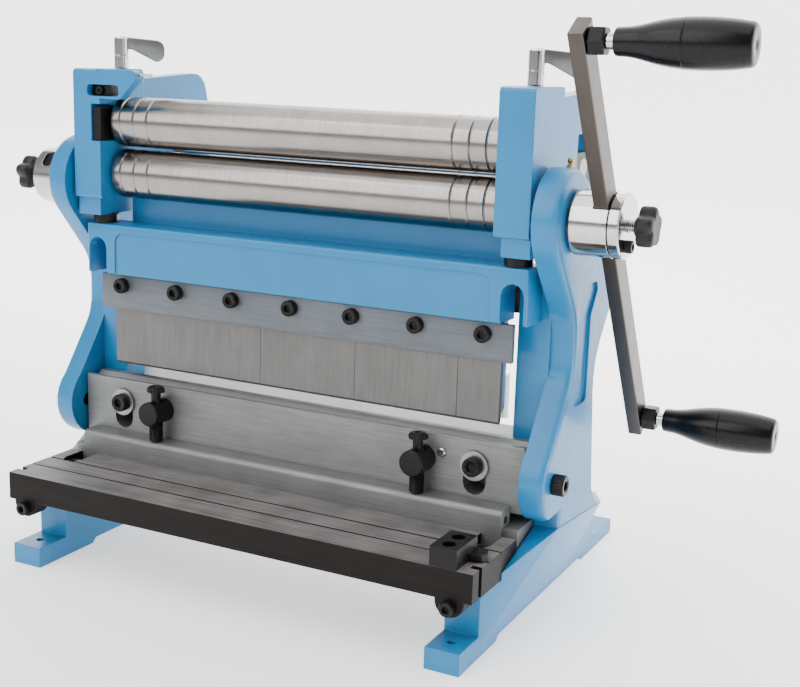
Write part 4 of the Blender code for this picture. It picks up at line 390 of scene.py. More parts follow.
def recast_nodes() -> None:
    """Replaces faceted nodes by merged copies whose curved faces are shaded smooth."""
    finish_of = {name: finish for finish, names in CARRIED for name in spelled(names)}
    body_of = {name: body for body, names in frame["record"]["behaviour"]["bodies"].items()
               for name in names}
    for name in spelled(RECAST):
        source = frame["nodes"][name].data
        shape = bmesh.new()
        verts = [shape.verts.new(vert.co) for vert in source.vertices]
        for face in source.polygons:
            shape.faces.new([verts[index] for index in face.vertices])
        bmesh.ops.remove_doubles(shape, verts=shape.verts, dist=WELD)
        bmesh.ops.dissolve_limit(shape, angle_limit=math.radians(FLAT), verts=shape.verts,
                                 edges=shape.edges)
        if name == "shaft_collar":
            spin = turned_about(middle(name), COLLAR_TURN)
            bmesh.ops.transform(shape, matrix=spin, verts=shape.verts)
        piece = finished(f"{name}_worked", shape, finish_of[name], 30.0)
        weighted = piece.modifiers.new("weighted", "WEIGHTED_NORMAL")
        weighted.keep_sharp = True
        settle(piece, body_of[name], finish_of[name], name)


def turned_about(centre: Vector, degrees: float) -> Matrix:
    """Turn about the line along X through a point."""
    return (Matrix.Translation(centre) @ Matrix.Rotation(math.radians(degrees), 4, "X")
            @ Matrix.Translation(-centre))


def middle(name: str) -> Vector:
    """Centre of a node's box."""
    low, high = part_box(name)
    return (Vector(low) + Vector(high)) / 2


def finished(name: str, shape: Shape, finish: Finish,
             sharp: float = 32.0) -> Piece:
    """A linked object from a closed bmesh, in its finish.

    Args:
        name: the piece's name.
        shape: its geometry, in place.
        finish: its surface.
        sharp: angle in degrees above which an edge stays sharp.

    Returns:
        The new object.
    """
    bmesh.ops.recalc_face_normals(shape, faces=shape.faces)
    mesh = bpy.data.meshes.new(name)
    shape.to_mesh(mesh)
    shape.free()
    mesh.materials.append(finish.material())
    return linked(name, mesh, sharp)


def linked(name: str, mesh: bpy.types.Mesh, sharp: float) -> Piece:
    """A linked object of a mesh that is smooth but for its sharp edges."""
    mesh.shade_smooth()
    mesh.set_sharp_from_angle(angle=math.radians(sharp))
    return in_scene(name, mesh)


def in_scene(name: str, data: bpy.types.ID) -> Piece:
    """A new object of some data, linked to the scene."""
    made = bpy.data.objects.new(name, data)
    bpy.context.collection.objects.link(made)
    return made


def settle(piece: Piece, body: Body | str, finish: Finish, *nodes: str) -> None:
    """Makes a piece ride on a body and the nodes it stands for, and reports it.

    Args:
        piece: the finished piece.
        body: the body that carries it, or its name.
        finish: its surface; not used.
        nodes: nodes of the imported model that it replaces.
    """
    carrier = body.value if isinstance(body, Body) else body
    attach(piece, carrier)
    if nodes:
        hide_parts(*nodes)
    LOG.info("piece %s on %s, %d faces", piece.name, carrier, len(piece.data.polygons))


def keep(name: str, shape: Shape, finish: Finish, body: Body | str, *nodes: str,
         sharp: float = 32.0) -> None:
    """Makes a piece from a shape and settles it; its values are those of both steps."""
    settle(finished(name, shape, finish, sharp), body, finish, *nodes)


Radius = float | Callable[[float], float]


def lofted(rings: Sequence[tuple[float, Radius]], segments: int = 48) -> Shape:
    """Closed body along Z from rings whose radius may vary round the axis.

    Args:
        rings: (height, radius) from the bottom to the top, radius a number or a function of angle.
        segments: points in each ring.

    Returns:
        The body, with flat ends.
    """
    shape = bmesh.new()
    loops = []
    for height, radius in rings:
        loop = []
        for step in range(segments):
            angle = 2 * math.pi * step / segments
            reach = radius(angle) if callable(radius) else radius
            loop.append(shape.verts.new((reach * math.cos(angle), reach * math.sin(angle), height)))
        loops.append(loop)
    for loop, following in zip(loops, loops[1:]):
        for step in range(segments):
            after = (step + 1) % segments
            shape.faces.new((loop[step], loop[after], following[after], following[step]))
    shape.faces.new(loops[0][::-1])
    shape.faces.new(loops[-1])
    return shape


def put(shape: Shape, place: Vector, axis: Axis) -> Shape:
    """Turns a shape from +Z to an axis and moves it to a place."""
    bmesh.ops.transform(shape, matrix=Matrix.Translation(place) @ axis.matrix(), verts=shape.verts)
    return shape


def block(low: Vector, high: Vector, edge: float) -> Shape:
    """Closed box from its lowest to its highest corner, with its edges rounded."""
    shape = bmesh.new()
    bmesh.ops.create_cube(shape, size=1.0)
    for vert in shape.verts:
        vert.co = Vector([low[way] if vert.co[way] < 0 else high[way] for way in range(3)])
    bmesh.ops.bevel(shape, geom=shape.edges[:], offset=edge, segments=2, profile=0.5,
                    affect="EDGES")
    return shape


def polygon(apothem: float, sides: int = 6) -> Callable[[float], float]:
    """Radius, as a function of angle, of a regular polygon with half its width across flats."""
    step = 2 * math.pi / sides

    def radius(angle: float) -> float:
        """Distance from the axis to the flat at an angle."""
        return apothem / math.cos((angle % step) - step / 2)

    return radius


def ribbed(radius: float, depth: float, ribs: int) -> Callable[[float], float]:
    """Radius of a knurled or splined surface as a function of angle."""

    def reach(angle: float) -> float:
        """Distance from the axis to the ribs at an angle."""
        return radius - depth * (0.5 - 0.5 * math.cos(ribs * angle))

    return reach


@dataclass(frozen=True)
class CapScrew:
    """Socket-head cap screw, standing on its seat with its head along +Z.

    Attributes:
        head: radius of the head.
        height: height of the head.
        shank: radius of the shank.
        length: length of the shank below the seat.
        ribs: ribs of the knurl round the head.
    """

    head: float
    height: float
    shank: float
    length: float
    ribs: int = 24

    def shape(self) -> Shape:
        """Builds the screw with its knurl, chamfer and hexagon socket."""
        edge = 0.12 * self.head
        knurl = ribbed(self.head, 0.05 * self.head, self.ribs)
        socket = polygon(0.46 * self.head)
        rim = 0.6 * self.head
        top = self.height
        return lofted([
            (-self.length, self.shank * 0.9), (-self.length * 0.97, self.shank),
            (0.0, self.shank), (0.0, knurl), (top - edge, knurl), (top, self.head - edge),
            (top, rim), (top - edge * 0.5, socket), (top * 0.45, socket),
            (top * 0.4, 0.3 * self.head),
        ], self.ribs * 3)


def new_tree(name: str, inputs: Sequence[tuple[str, str]]) -> bpy.types.GeometryNodeTree:
    """Empty Geometry Nodes tree with named inputs and one geometry output."""
    tree = bpy.data.node_groups.new(name, "GeometryNodeTree")
    for label, kind in inputs:
        tree.interface.new_socket(label, in_out="INPUT", socket_type=kind)
    tree.interface.new_socket("Geometry", in_out="OUTPUT", socket_type="NodeSocketGeometry")
    return tree


def close_tree(tree: bpy.types.GeometryNodeTree, shape: Socket,
               finish: Socket) -> None:
    """Ends a tree in Realize Instances and Set Material."""
    real = add_node(tree, "GeometryNodeRealizeInstances", {0: shape}).outputs[0]
    dressed = add_node(tree, "GeometryNodeSetMaterial", {"Geometry": real, "Material": finish})
    add_node(tree, "NodeGroupOutput", {0: dressed.outputs[0]})


def row_tree() -> bpy.types.GeometryNodeTree:
    """Tree that repeats a shape in a straight row."""
    tree = new_tree("fastener_row", (
        ("Shape", "NodeSocketObject"), ("Count", "NodeSocketInt"), ("Start", "NodeSocketVector"),
        ("Step", "NodeSocketVector"), ("Turn", "NodeSocketVector"),
        ("Finish", "NodeSocketMaterial"),
    ))
    given = add_node(tree, "NodeGroupInput").outputs
    line = add_node(tree, "GeometryNodeMeshLine", {
        "Count": given["Count"], "Start Location": given["Start"], "Offset": given["Step"],
    }).outputs[0]
    shape = add_node(tree, "GeometryNodeObjectInfo", {"Object": given["Shape"]})
    copies = add_node(tree, "GeometryNodeInstanceOnPoints", {
        "Points": line, "Instance": shape.outputs["Geometry"], "Rotation": given["Turn"],
    }).outputs[0]
    close_tree(tree, copies, given["Finish"])
    return tree


def thread_tree() -> bpy.types.GeometryNodeTree:
    """Tree that cuts a screw thread into a round bar."""
    tree = new_tree("screw_thread", (
        ("Radius", "NodeSocketFloat"), ("Depth", "NodeSocketFloat"), ("Pitch", "NodeSocketFloat"),
        ("Length", "NodeSocketFloat"), ("Steps", "NodeSocketInt"), ("Place", "NodeSocketVector"),
        ("Turn", "NodeSocketVector"), ("Finish", "NodeSocketMaterial"),
    ))
    given = add_node(tree, "NodeGroupInput").outputs

    def math_node(operation: str, first: object, second: object = 0.0) -> Socket:
        """Result of one arithmetic step."""
        return add_node(tree, "ShaderNodeMath", {0: first, 1: second},
                        operation=operation).outputs[0]

    bar = add_node(tree, "GeometryNodeMeshCylinder", {
        "Vertices": 24, "Side Segments": given["Steps"], "Radius": given["Radius"],
        "Depth": given["Length"],
    }).outputs[0]
    point = add_node(tree, "GeometryNodeInputPosition").outputs[0]
    parts = add_node(tree, "ShaderNodeSeparateXYZ", {0: point}).outputs
    angle = math_node("ARCTAN2", parts[1], parts[0])
    turns = math_node("DIVIDE", angle, 2 * math.pi)
    along = math_node("DIVIDE", parts[2], given["Pitch"])
    phase = math_node("FRACT", math_node("ADD", turns, along))
    saw = math_node("MULTIPLY_ADD", phase, 2.0)
    saw.node.inputs[2].default_value = -1.0
    flank = math_node("ABSOLUTE", saw)
    sunk = math_node("MULTIPLY", flank, math_node("DIVIDE", given["Depth"], given["Radius"]))
    share = math_node("SUBTRACT", 1.0, sunk)
    moved = add_node(tree, "ShaderNodeCombineXYZ", {
        0: math_node("MULTIPLY", parts[0], share), 1: math_node("MULTIPLY", parts[1], share),
        2: parts[2],
    }).outputs[0]
    cut = add_node(tree, "GeometryNodeSetPosition", {"Geometry": bar, "Position": moved}).outputs[0]
    put_there = add_node(tree, "GeometryNodeTransform", {
        "Geometry": cut, "Translation": given["Place"], "Rotation": given["Turn"],
    }).outputs[0]
    close_tree(tree, put_there, given["Finish"])
    return tree


def from_tree(name: str, tree: bpy.types.GeometryNodeTree, values: dict[str, object],
              sharp: float = 32.0) -> Piece:
    """Runs a tree once, its named inputs set to values, and keeps the result as a plain mesh."""
    host = in_scene("host", bpy.data.meshes.new("host"))
    modifier = host.modifiers.new("build", "NODES")
    modifier.node_group = tree
    for item in tree.interface.items_tree:
        if item.in_out == "INPUT":
            modifier[item.identifier] = values[item.name]
    bpy.context.view_layer.update()
    graph = bpy.context.evaluated_depsgraph_get()
    mesh = bpy.data.meshes.new_from_object(host.evaluated_get(graph), depsgraph=graph)
    mesh.name = name
    bpy.data.objects.remove(host)
    return linked(name, mesh, sharp)


@dataclass
class Fasteners:
    """Rows of cap screws and lengths of thread, each made by its own tree."""

    row: bpy.types.GeometryNodeTree = field(default_factory=row_tree)
    thread: bpy.types.GeometryNodeTree = field(default_factory=thread_tree)
    steps_per_turn: int = 6

    def screws(self, name: str, screw: CapScrew, start: Vector, axis: Axis, body: str,
               nodes: Sequence[str] = (), count: int = 1,
               step: Vector = Vector((0.0, 0.0, 0.0)), finish: Finish = BLACK) -> None:
        """Adds a row of cap screws.

        Args:
            name: the piece's name.
            screw: the screw that is repeated.
            start: seat of the first screw.
            axis: direction of the heads.
            body: body that carries the row.
            nodes: nodes that the row replaces.
            count: number of screws.
            step: distance from one screw to the next.
            finish: their surface.
        """
        pattern = finished("screw_pattern", screw.shape(), finish)
        made = from_tree(name, self.row, {
            "Shape": pattern, "Count": count, "Start": tuple(start), "Step": tuple(step),
            "Turn": axis.value, "Finish": finish.material(),
        })
        bpy.data.objects.remove(pattern)
        settle(made, body, finish, *nodes)

    def threaded(self, name: str, radius: float, pitch: float, start: Vector, length: float,
                 axis: Axis, body: str, finish: Finish) -> None:
        """Adds a length of thread.

        Args:
            name: the piece's name.
            radius: outer radius.
            pitch: distance from crest to crest.
            start: centre of its first end.
            length: its length.
            axis: the direction it runs in.
            body: body that carries it.
            finish: its surface.
        """
        centre = Vector(start) + axis.matrix() @ Vector((0.0, 0.0, length / 2))
        made = from_tree(name, self.thread, {
            "Radius": radius, "Depth": pitch * 0.5, "Pitch": pitch, "Length": length,
            "Steps": max(2, round(self.steps_per_turn * length / pitch)), "Place": tuple(centre),
            "Turn": axis.value, "Finish": finish.material(),
        }, 55.0)
        settle(made, body, finish)


@dataclass
class Rolls:
    """Ground rolls, the front pair with wire grooves at both ends."""

    groove_depth: float = 0.9 * MM
    groove_half: float = 0.9 * MM
    groove_first: float = 8.3 * MM
    groove_pitch: float = 11.8 * MM
    grooves: int = 3
    edge: float = 1.0 * MM
    half: float = 150 * MM
    journal: float = 8 * MM
    rear_journal: float = 7 * MM
    segments: int = 96

    def build(self) -> None:
        """Adds the three rolls."""
        self._roll("lower_roll", self.journal, True)
        self._roll("upper_roll", self.journal, True)
        self._roll("rear_roll", self.rear_journal, False)

    def _roll(self, node: str, journal: float, grooved: bool) -> None:
        """Adds one roll in the place of its node."""
        low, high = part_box(node)
        centre = middle(node)
        radius = (high[2] - low[2]) / 2
        shift = middle_plane()
        ends = [(-self.half, journal), (-self.half, radius - self.edge),
                (-self.half + self.edge, radius)]
        rings = [(low[0] - shift, journal), *ends]
        if grooved:
            for number in range(self.grooves):
                at = -self.half + self.groove_first + self.groove_pitch * number
                rings += [(at - self.groove_half, radius), (at, radius - self.groove_depth),
                          (at + self.groove_half, radius)]
        rings += [(-along, size) for along, size in rings[1:][::-1]]
        rings.append((high[0] - shift, journal))
        shape = lofted(rings, self.segments)
        put(shape, Vector((shift, centre.y, centre.z)), Axis.RIGHT)
        keep(f"{node}_ground", shape, ROLL, node, node, sharp=25.0)


def middle_plane() -> float:
    """X of the machine's middle plane, which the long handle shifts off the origin."""
    return middle("ram").x


def from_middle(across: float, back: float, up: float) -> Vector:
    """Place whose X is counted from the machine's middle plane."""
    return Vector((middle_plane() + across, back, up))


@dataclass
class Fittings:
    """Screws, threads and pins that the photograph shows on the fixed and sliding parts.

    The bolt sizes are head radius, head height and shank radius.
    """

    fasteners: Fasteners
    clamp_screws: int = 7
    clamp_pitch: float = 48 * MM
    clamp_drop: float = 7.5 * MM
    clamp_head: float = 5.5 * MM
    clamp_step: float = 4.3 * MM
    die_bolt: tuple[float, float, float] = (6.5 * MM, 4.8 * MM, 4 * MM)
    table_bolt: tuple[float, float, float] = (6.6 * MM, 6 * MM, 4 * MM)
    frame_bolt: tuple[float, float, float] = (6.9 * MM, 8 * MM, 5 * MM)
    ring_bolt: tuple[float, float, float] = (4 * MM, 4.5 * MM, 2 * MM)
    push_bolt: tuple[float, float, float] = (4.8 * MM, 5 * MM, 2.9 * MM)
    push_thread: float = 3.5 * MM
    push_pitch: float = 1.0 * MM
    jack_head: float = 4.8 * MM
    jack_neck: float = 7.2 * MM
    jack_shaft: float = 4.2 * MM
    jack_waist: float = 3.5 * MM
    jack_spline: float = 6.5 * MM
    jack_thread: float = 5.2 * MM
    jack_pitch: float = 1.5 * MM
    blade_screws: int = 6
    blade_pitch: float = 50.4 * MM
    sight_drop: float = 14.8 * MM
    sight_from_roll: tuple[float, float] = (-10.7 * MM, 6.0 * MM)
    sight_half: float = 3.7 * MM
    sight_depth: float = 12 * MM
    window_from_end: float = 11.5 * MM
    window_dark_half: tuple[float, float] = (4.3 * MM, 6.3 * MM)
    window_dark_depth: float = 1.6 * MM
    window_dark_thickness: float = 3.7 * MM
    notch_dark_low: tuple[float, float, float] = (149.0 * MM, -35.3 * MM, 203 * MM)
    notch_dark_high: tuple[float, float, float] = (158.6 * MM, -26.0 * MM, 229 * MM)
    ledge_hole: tuple[float, float, float] = (168.3 * MM, -66.5 * MM, 74.5 * MM)
    pin_inward: float = 122.5 * MM
    pin_behind: float = 4 * MM
    pin_drop: float = 3.2 * MM

    def build(self) -> None:
        """Adds every fitting of the base, die, table and ram."""
        self._clamp()
        for kind, axes, size in (("die", (Axis.FRONT, Axis.FRONT), self.die_bolt),
                                 ("table", (Axis.UP, Axis.UP), self.table_bolt),
                                 ("frame", (Axis.LEFT, Axis.RIGHT), self.frame_bolt)):
            for side, axis in zip(SIDES, axes):
                self._bolt(f"{kind}_screw_{side}", f"{kind}_bolt_{side}", axis, Body.BASE, size)
        self._bolt("ring_screw", "cap_screw", Axis.RIGHT, Body.CRANK, self.ring_bolt)
        self._jacks()
        self._push_screws()
        self._nipples()
        self._blade_screws()
        self._rear_adjusters()
        self._left_head()
        self._collar_window_dark()
        self._notch_dark_block()
        self._head_pin()
        self._ledge_tap_shade()

    def _bolt(self, name: str, node: str, axis: Axis, body: Body,
              size: tuple[float, float, float]) -> tuple[Vector, float]:
        """Puts a cap screw in the place of a node.

        Args:
            name: the piece's name.
            node: node that it replaces, whose box it fills.
            axis: direction of its head.
            body: body that carries it.
            size: head radius, head height and shank radius.

        Returns:
            Its seat and the length of its shank.
        """
        low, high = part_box(node)
        radius, height, shank = size
        facing = axis.matrix() @ Vector((0.0, 0.0, 1.0))
        way = max(range(3), key=lambda index: abs(facing[index]))
        seat = middle(node)
        seat[way] = high[way] - height if facing[way] > 0 else low[way] + height
        length = high[way] - low[way] - height
        self.fasteners.screws(name, CapScrew(radius, height, shank, length), seat, axis,
                              body, (node,))
        return seat, length

    def _clamp(self) -> None:
        """Clamp bar with softened edges and its row of cap screws."""
        low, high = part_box("clamp_bar")
        front = low[1] + self.clamp_head
        rear = high[1] - self.clamp_step
        shape = block(Vector((low[0], front, low[2])), Vector((high[0], rear, high[2])),
                      0.5 * MM)
        keep("clamp_bar_ground", shape, BAR_STOCK, Body.RAM, "clamp_bar")
        first = middle("clamp_bar").x - (self.clamp_screws - 1) / 2 * self.clamp_pitch
        screw = CapScrew(self.clamp_head, self.clamp_head, 3 * MM, 4 * MM)
        self.fasteners.screws(
            "clamp_screws", screw, Vector((first, front, high[2] - self.clamp_drop)), Axis.FRONT,
            Body.RAM, (), self.clamp_screws, Vector((self.clamp_pitch, 0.0, 0.0)))

    def _jacks(self) -> None:
        """Jack screws with a threaded shaft, a neck and a splined head."""
        for side in SIDES:
            node = f"jack_screw_{side}"
            low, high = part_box(node)
            centre = middle(node)
            top = high[2] - low[2]
            below = top - self.jack_head - self.jack_neck
            under = top - self.jack_head
            spline = ribbed(self.jack_spline, 0.6 * MM, 16)
            shape = lofted([
                (0.0, 3.6 * MM), (0.0008, self.jack_shaft), (below, self.jack_shaft),
                (below + 0.0006, self.jack_waist), (under, self.jack_waist),
                (under + 0.0007, spline),
                (top - 0.0012, spline), (top - 0.0004, 5.6 * MM),
                (top, 4.8 * MM), (top, 2.6 * MM), (top - 0.001, 2.0 * MM),
            ], 64)
            put(shape, Vector((centre.x, centre.y, low[2])), Axis.UP)
            keep(f"jack_spindle_{side}", shape, BLACK, f"jack_{side}", node)
            self.fasteners.threaded(
                f"jack_thread_{side}", self.jack_thread, self.jack_pitch,
                Vector((centre.x, centre.y, low[2] + 0.001)), below - 0.001, Axis.UP,
                f"jack_{side}", BLACK)

    def _push_screws(self) -> None:
        """Screws in the table's lugs, with a socket head and a threaded shank."""
        for side in SIDES:
            seat, length = self._bolt(f"table_push_{side}", f"push_screw_{side}", Axis.FRONT,
                                      Body.TABLE, self.push_bolt)
            self.fasteners.threaded(f"table_push_thread_{side}", self.push_thread,
                                    self.push_pitch, seat, length - 0.5 * MM, Axis.REAR,
                                    Body.TABLE, BLACK)

    def _nipples(self) -> None:
        """Brass oilers on the bosses: hexagon foot, waist and ball."""
        for side in SIDES:
            node = f"oil_nipple_{side}"
            low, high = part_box(node)
            centre = middle(node)
            foot = low[2] + 3.8 * MM
            flat = polygon(2.35 * MM)
            shape = lofted([
                (low[2], 1.7 * MM), (foot, 1.7 * MM), (foot, flat), (foot + 0.0027, flat),
                (foot + 0.0031, 1.9 * MM), (foot + 0.0036, 1.45 * MM), (foot + 0.0046, 1.4 * MM),
                (foot + 0.0052, 1.95 * MM), (foot + 0.0060, 2.1 * MM), (foot + 0.0068, 1.9 * MM),
                (foot + 0.0075, 1.3 * MM), (high[2], 0.5 * MM),
            ], 48)
            put(shape, Vector((centre.x, centre.y, 0.0)), Axis.UP)
            keep(f"oiler_{side}", shape, BRASS, Body.BASE, node)

    def _blade_screws(self) -> None:
        """Low screws along the back of the upper blade."""
        low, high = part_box("upper_blade")
        screw = CapScrew(4.5 * MM, 1.6 * MM, 2.5 * MM, 2 * MM)
        self.fasteners.screws(
            "blade_screws", screw, Vector((low[0] + 25 * MM, high[1], high[2] - 9 * MM)),
            Axis.REAR, Body.RAM, (), self.blade_screws,
            Vector((self.blade_pitch, 0.0, 0.0)))

    def _rear_adjusters(self) -> None:
        """Knurled skins on the knobs of the rear roll's adjusting screws."""
        for side in SIDES:
            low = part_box(f"rear_block_{side}")[0]
            centre = middle(f"rear_block_{side}")
            knurl = ribbed(9.4 * MM, 0.5 * MM, 36)
            shape = lofted([
                (0.0012, 8.6 * MM), (0.0018, knurl), (0.0074, knurl), (0.0080, 8.6 * MM),
            ], 144)
            put(shape, Vector((centre.x, centre.y, low[2])), Axis.UP)
            keep(f"adjuster_knurl_{side}", shape, BLACK, Body.CARRIAGE)

    def _left_head(self) -> None:
        """Block with its screw in the sight slot of the left head."""
        low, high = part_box("head_left")
        roll_end = middle_plane() - 152.3 * MM
        front = low[1] + 5 * MM
        level = high[2] - self.sight_drop
        start, end = self.sight_from_roll
        shape = block(Vector((roll_end + start, front, level - self.sight_half)),
                      Vector((roll_end + end, front + self.sight_depth, level + self.sight_half)),
                      EDGE)
        keep("sight_block", shape, BLACK, Body.RAM)
        screw = CapScrew(3.1 * MM, 2.4 * MM, 1.5 * MM, 2 * MM)
        self.fasteners.screws("sight_screw", screw, Vector((roll_end - 2.4 * MM, front, level)),
                              Axis.FRONT, Body.RAM)

    def _collar_window_dark(self) -> None:
        """Black block just inside the window of the shaft collar, which makes the window show dark.
        """
        low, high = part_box("shaft_collar")
        centre = middle("shaft_collar")
        radius = (high[2] - low[2]) / 2
        window = low[0] + self.window_from_end
        front = centre.y - radius + self.window_dark_depth
        along, up = self.window_dark_half
        shape = block(Vector((window - along, front, centre.z - up)),
                      Vector((window + along, front + self.window_dark_thickness, centre.z + up)),
                      EDGE)
        spin = turned_about(centre, COLLAR_TURN)
        bmesh.ops.transform(shape, matrix=spin, verts=shape.verts)
        keep("collar_insert", shape, BLACK, Body.CRANK)

    def _notch_dark_block(self) -> None:
        """Dark block beside the right rail, seen through the notch of the ram.

        The photograph shows a dark patch there, and that it is a strip is a guess.
        """
        shape = block(from_middle(*self.notch_dark_low), from_middle(*self.notch_dark_high), EDGE)
        keep("guide_strip", shape, BLACK, Body.BASE)

    def _ledge_tap_shade(self) -> None:
        """Black disc on the right end of the bed's ledge: painted shade that stands for a tapped
        hole.
        """
        shape = lofted([(0.0, 2.3 * MM), (0.0006, 2.6 * MM), (0.0009, 2.4 * MM)], 32)
        put(shape, from_middle(*self.ledge_hole), Axis.RIGHT)
        keep("ledge_hole", shape, BLACK, Body.BASE)

    def _head_pin(self) -> None:
        """Bright stop pin that stands out of the left head's overhang."""
        low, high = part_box("head_left")
        shape = lofted([(0.0, 0.9 * MM), (0.0003, 1.1 * MM), (0.0132, 1.1 * MM),
                        (0.0137, 0.7 * MM)], 32)
        place = from_middle(-self.pin_inward, low[1] + self.pin_behind, high[2] - self.pin_drop)
        put(shape, place, Axis.RIGHT)
        keep("head_pin", shape, CHROME, Body.RAM)


@dataclass
class Levers:
    """Clamping levers: chrome post with a joint ring, and a flat satin paddle."""

    post: float = 5.3 * MM
    height: float = 22 * MM
    stud: float = 3 * MM
    length: float = 31 * MM
    thickness: float = 3.5 * MM
    turn: float = 33.0
    joint_share: float = 0.42
    root: float = 8.5 * MM
    tip: float = 15.5 * MM
    droop: float = 2 * MM
    apart: float = 161 * MM
    behind: float = 35.9 * MM
    lift: float = 0.3 * MM
    corner_share: float = 0.4
    corner_steps: int = 6
    rim: float = 0.7 * MM

    def build(self) -> None:
        """Adds both levers."""
        for side in SIDES:
            node = f"clamp_lever_{side}"
            origin = self._foot(side)
            self._post(side, node, origin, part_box(node)[0][2])
            self._paddle(side, origin)

    def _foot(self, side: str) -> Vector:
        """Where a lever's post stands on its head."""
        head_low, head_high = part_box(f"head_{side}")
        sign = -1 if side == "left" else 1
        return from_middle(sign * self.apart, head_low[1] + self.behind,
                           head_high[2] + self.lift)

    def _post(self, side: str, node: str, origin: Vector, bottom: float) -> None:
        """Turned post with its stud and joint ring."""
        ring = self.height * self.joint_share
        shape = lofted([
            (bottom - origin.z, self.stud), (0.0, self.stud), (0.0, self.post - 0.0004),
            (0.0004, self.post), (ring - 0.0005, self.post), (ring, self.post - 0.0006),
            (ring + 0.0005, self.post), (self.height - 0.0010, self.post),
            (self.height - 0.0004, self.post - 0.0004), (self.height, self.post - 0.0012),
        ], 64)
        put(shape, origin, Axis.UP)
        keep(f"lever_post_{side}", shape, CHROME, f"lever_{side}", node)

    def _paddle(self, side: str, origin: Vector) -> None:
        """Flat paddle with rounded edges that leaves the top of the post."""
        top = self.height + 0.0006
        corner = self.tip * self.corner_share
        end = self.length - corner
        points = [(0.0, top - self.root), (self.length * 0.25, top - self.root - 0.6 * MM)]
        for start, level in ((-math.pi / 2, top - self.droop - self.tip + corner),
                             (0.0, top - self.droop - corner)):
            for step in range(self.corner_steps + 1):
                angle = start + math.pi / 2 * step / self.corner_steps
                points.append((end + corner * math.cos(angle), level + corner * math.sin(angle)))
        points.append((0.0, top))
        shape = bmesh.new()
        verts = [shape.verts.new((along, -self.thickness / 2, up)) for along, up in points]
        face = shape.faces.new(verts)
        grown = bmesh.ops.extrude_face_region(shape, geom=[face])["geom"]
        moved = [item for item in grown if isinstance(item, bmesh.types.BMVert)]
        bmesh.ops.translate(shape, verts=moved, vec=(0.0, self.thickness, 0.0))
        rims = [edge for edge in shape.edges if abs(edge.verts[0].co.y - edge.verts[1].co.y) < 1e-6]
        bmesh.ops.bevel(shape, geom=rims, offset=self.rim, segments=3, profile=0.5,
                        affect="EDGES")
        spin = Matrix.Translation(origin) @ Matrix.Rotation(math.radians(self.turn), 4, "Z")
        bmesh.ops.transform(shape, matrix=spin, verts=shape.verts)
        keep(f"lever_paddle_{side}", shape, SATIN, f"lever_{side}", sharp=40.0)


@dataclass
class Handles:
    """Turned grips of the crank and the star knobs at both ends of the shaft."""

    fasteners: Fasteners
    profile: tuple[tuple[float, float], ...] = (
        (0.0, 0.50), (0.006, 0.545), (0.02, 0.56), (0.10, 0.585), (0.16, 0.635), (0.21, 0.70),
        (0.27, 0.785), (0.34, 0.87), (0.42, 0.94), (0.50, 0.98), (0.512, 0.985), (0.516, 0.965),
        (0.520, 0.965), (0.524, 0.988), (0.60, 1.0), (0.70, 0.995), (0.80, 0.965), (0.88, 0.925),
        (0.945, 0.875), (0.978, 0.84), (0.992, 0.80), (1.0, 0.74), (1.0, 0.20), (0.994, 0.16),
    )
    neck: float = 4.8 * MM
    segments: int = 64
    lobes: int = 5
    lobe: float = 13 * MM
    stud: float = 4 * MM
    stud_pitch: float = 1.25 * MM
    bite: float = 6 * MM
    left_shown: float = 13 * MM
    right_shown: float = 4.6 * MM

    def build(self) -> None:
        """Adds both grips and both star knobs."""
        for name in ("top", "bottom"):
            node = f"grip_{name}"
            low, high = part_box(node)
            centre = middle(node)
            radius = (high[2] - low[2]) / 2
            length = high[0] - low[0]
            shown = length - self.neck
            rings = [(self.neck + shown * along, radius * share)
                     for along, share in self.profile]
            shape = put(lofted(rings, self.segments), Vector((low[0], centre.y, centre.z)),
                        Axis.RIGHT)
            keep(f"handle_grip_{name}", shape, GLOSS, node, node, sharp=40.0)
            ring = lofted([(0.0, 4.2 * MM), (0.0004, 4.6 * MM), (self.neck, 4.6 * MM),
                           (self.neck + 0.0006, 4.0 * MM)], self.segments)
            put(ring, Vector((low[0], centre.y, centre.z)), Axis.RIGHT)
            keep(f"handle_neck_{name}", ring, CHROME, Body.CRANK)
        self._knob("left", Axis.LEFT, -1, self.left_shown)
        self._knob("right", Axis.RIGHT, 1, self.right_shown)

    def _knob(self, side: str, axis: Axis, sign: int, shown: float) -> None:
        """Star knob with crowned lobes on a threaded chrome stud."""
        node = f"star_knob_{side}"
        low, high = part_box(node)
        centre = middle(node)
        start = Vector((low[0] if sign > 0 else high[0], centre.y, centre.z))
        length = high[0] - low[0]
        neck = self.bite + shown

        def lobed(size: float) -> Callable[[float], float]:
            """Radius of the lobed outline at a given reach."""

            def radius(angle: float) -> float:
                """Distance from the axis to the lobes at an angle."""
                facing = math.pi - angle if sign > 0 else angle
                wave = (1 + math.cos(self.lobes * facing)) / 2
                return size * (0.74 + 0.26 * wave ** 0.8)

            return radius

        body = lofted([
            (neck, 5.2 * MM), (neck + 0.0004, 5.9 * MM), (neck + 0.002, 6.0 * MM),
            (neck + 0.0021, lobed(10.6 * MM)), (neck + 0.0027, lobed(12.2 * MM)),
            (neck + 0.0038, lobed(self.lobe)), (length - 0.0024, lobed(self.lobe)),
            (length - 0.0010, lobed(12.3 * MM)), (length - 0.0003, lobed(10.9 * MM)),
            (length, 8.0 * MM), (length - 0.0004, 5.0 * MM),
        ], 80)
        put(body, start, axis)
        keep(f"star_handle_{side}", body, MATT, f"knob_{side}", node, sharp=50.0)
        self.fasteners.threaded(f"star_stud_{side}", self.stud, self.stud_pitch, start,
                                neck + 0.0005, axis, f"knob_{side}", CHROME)


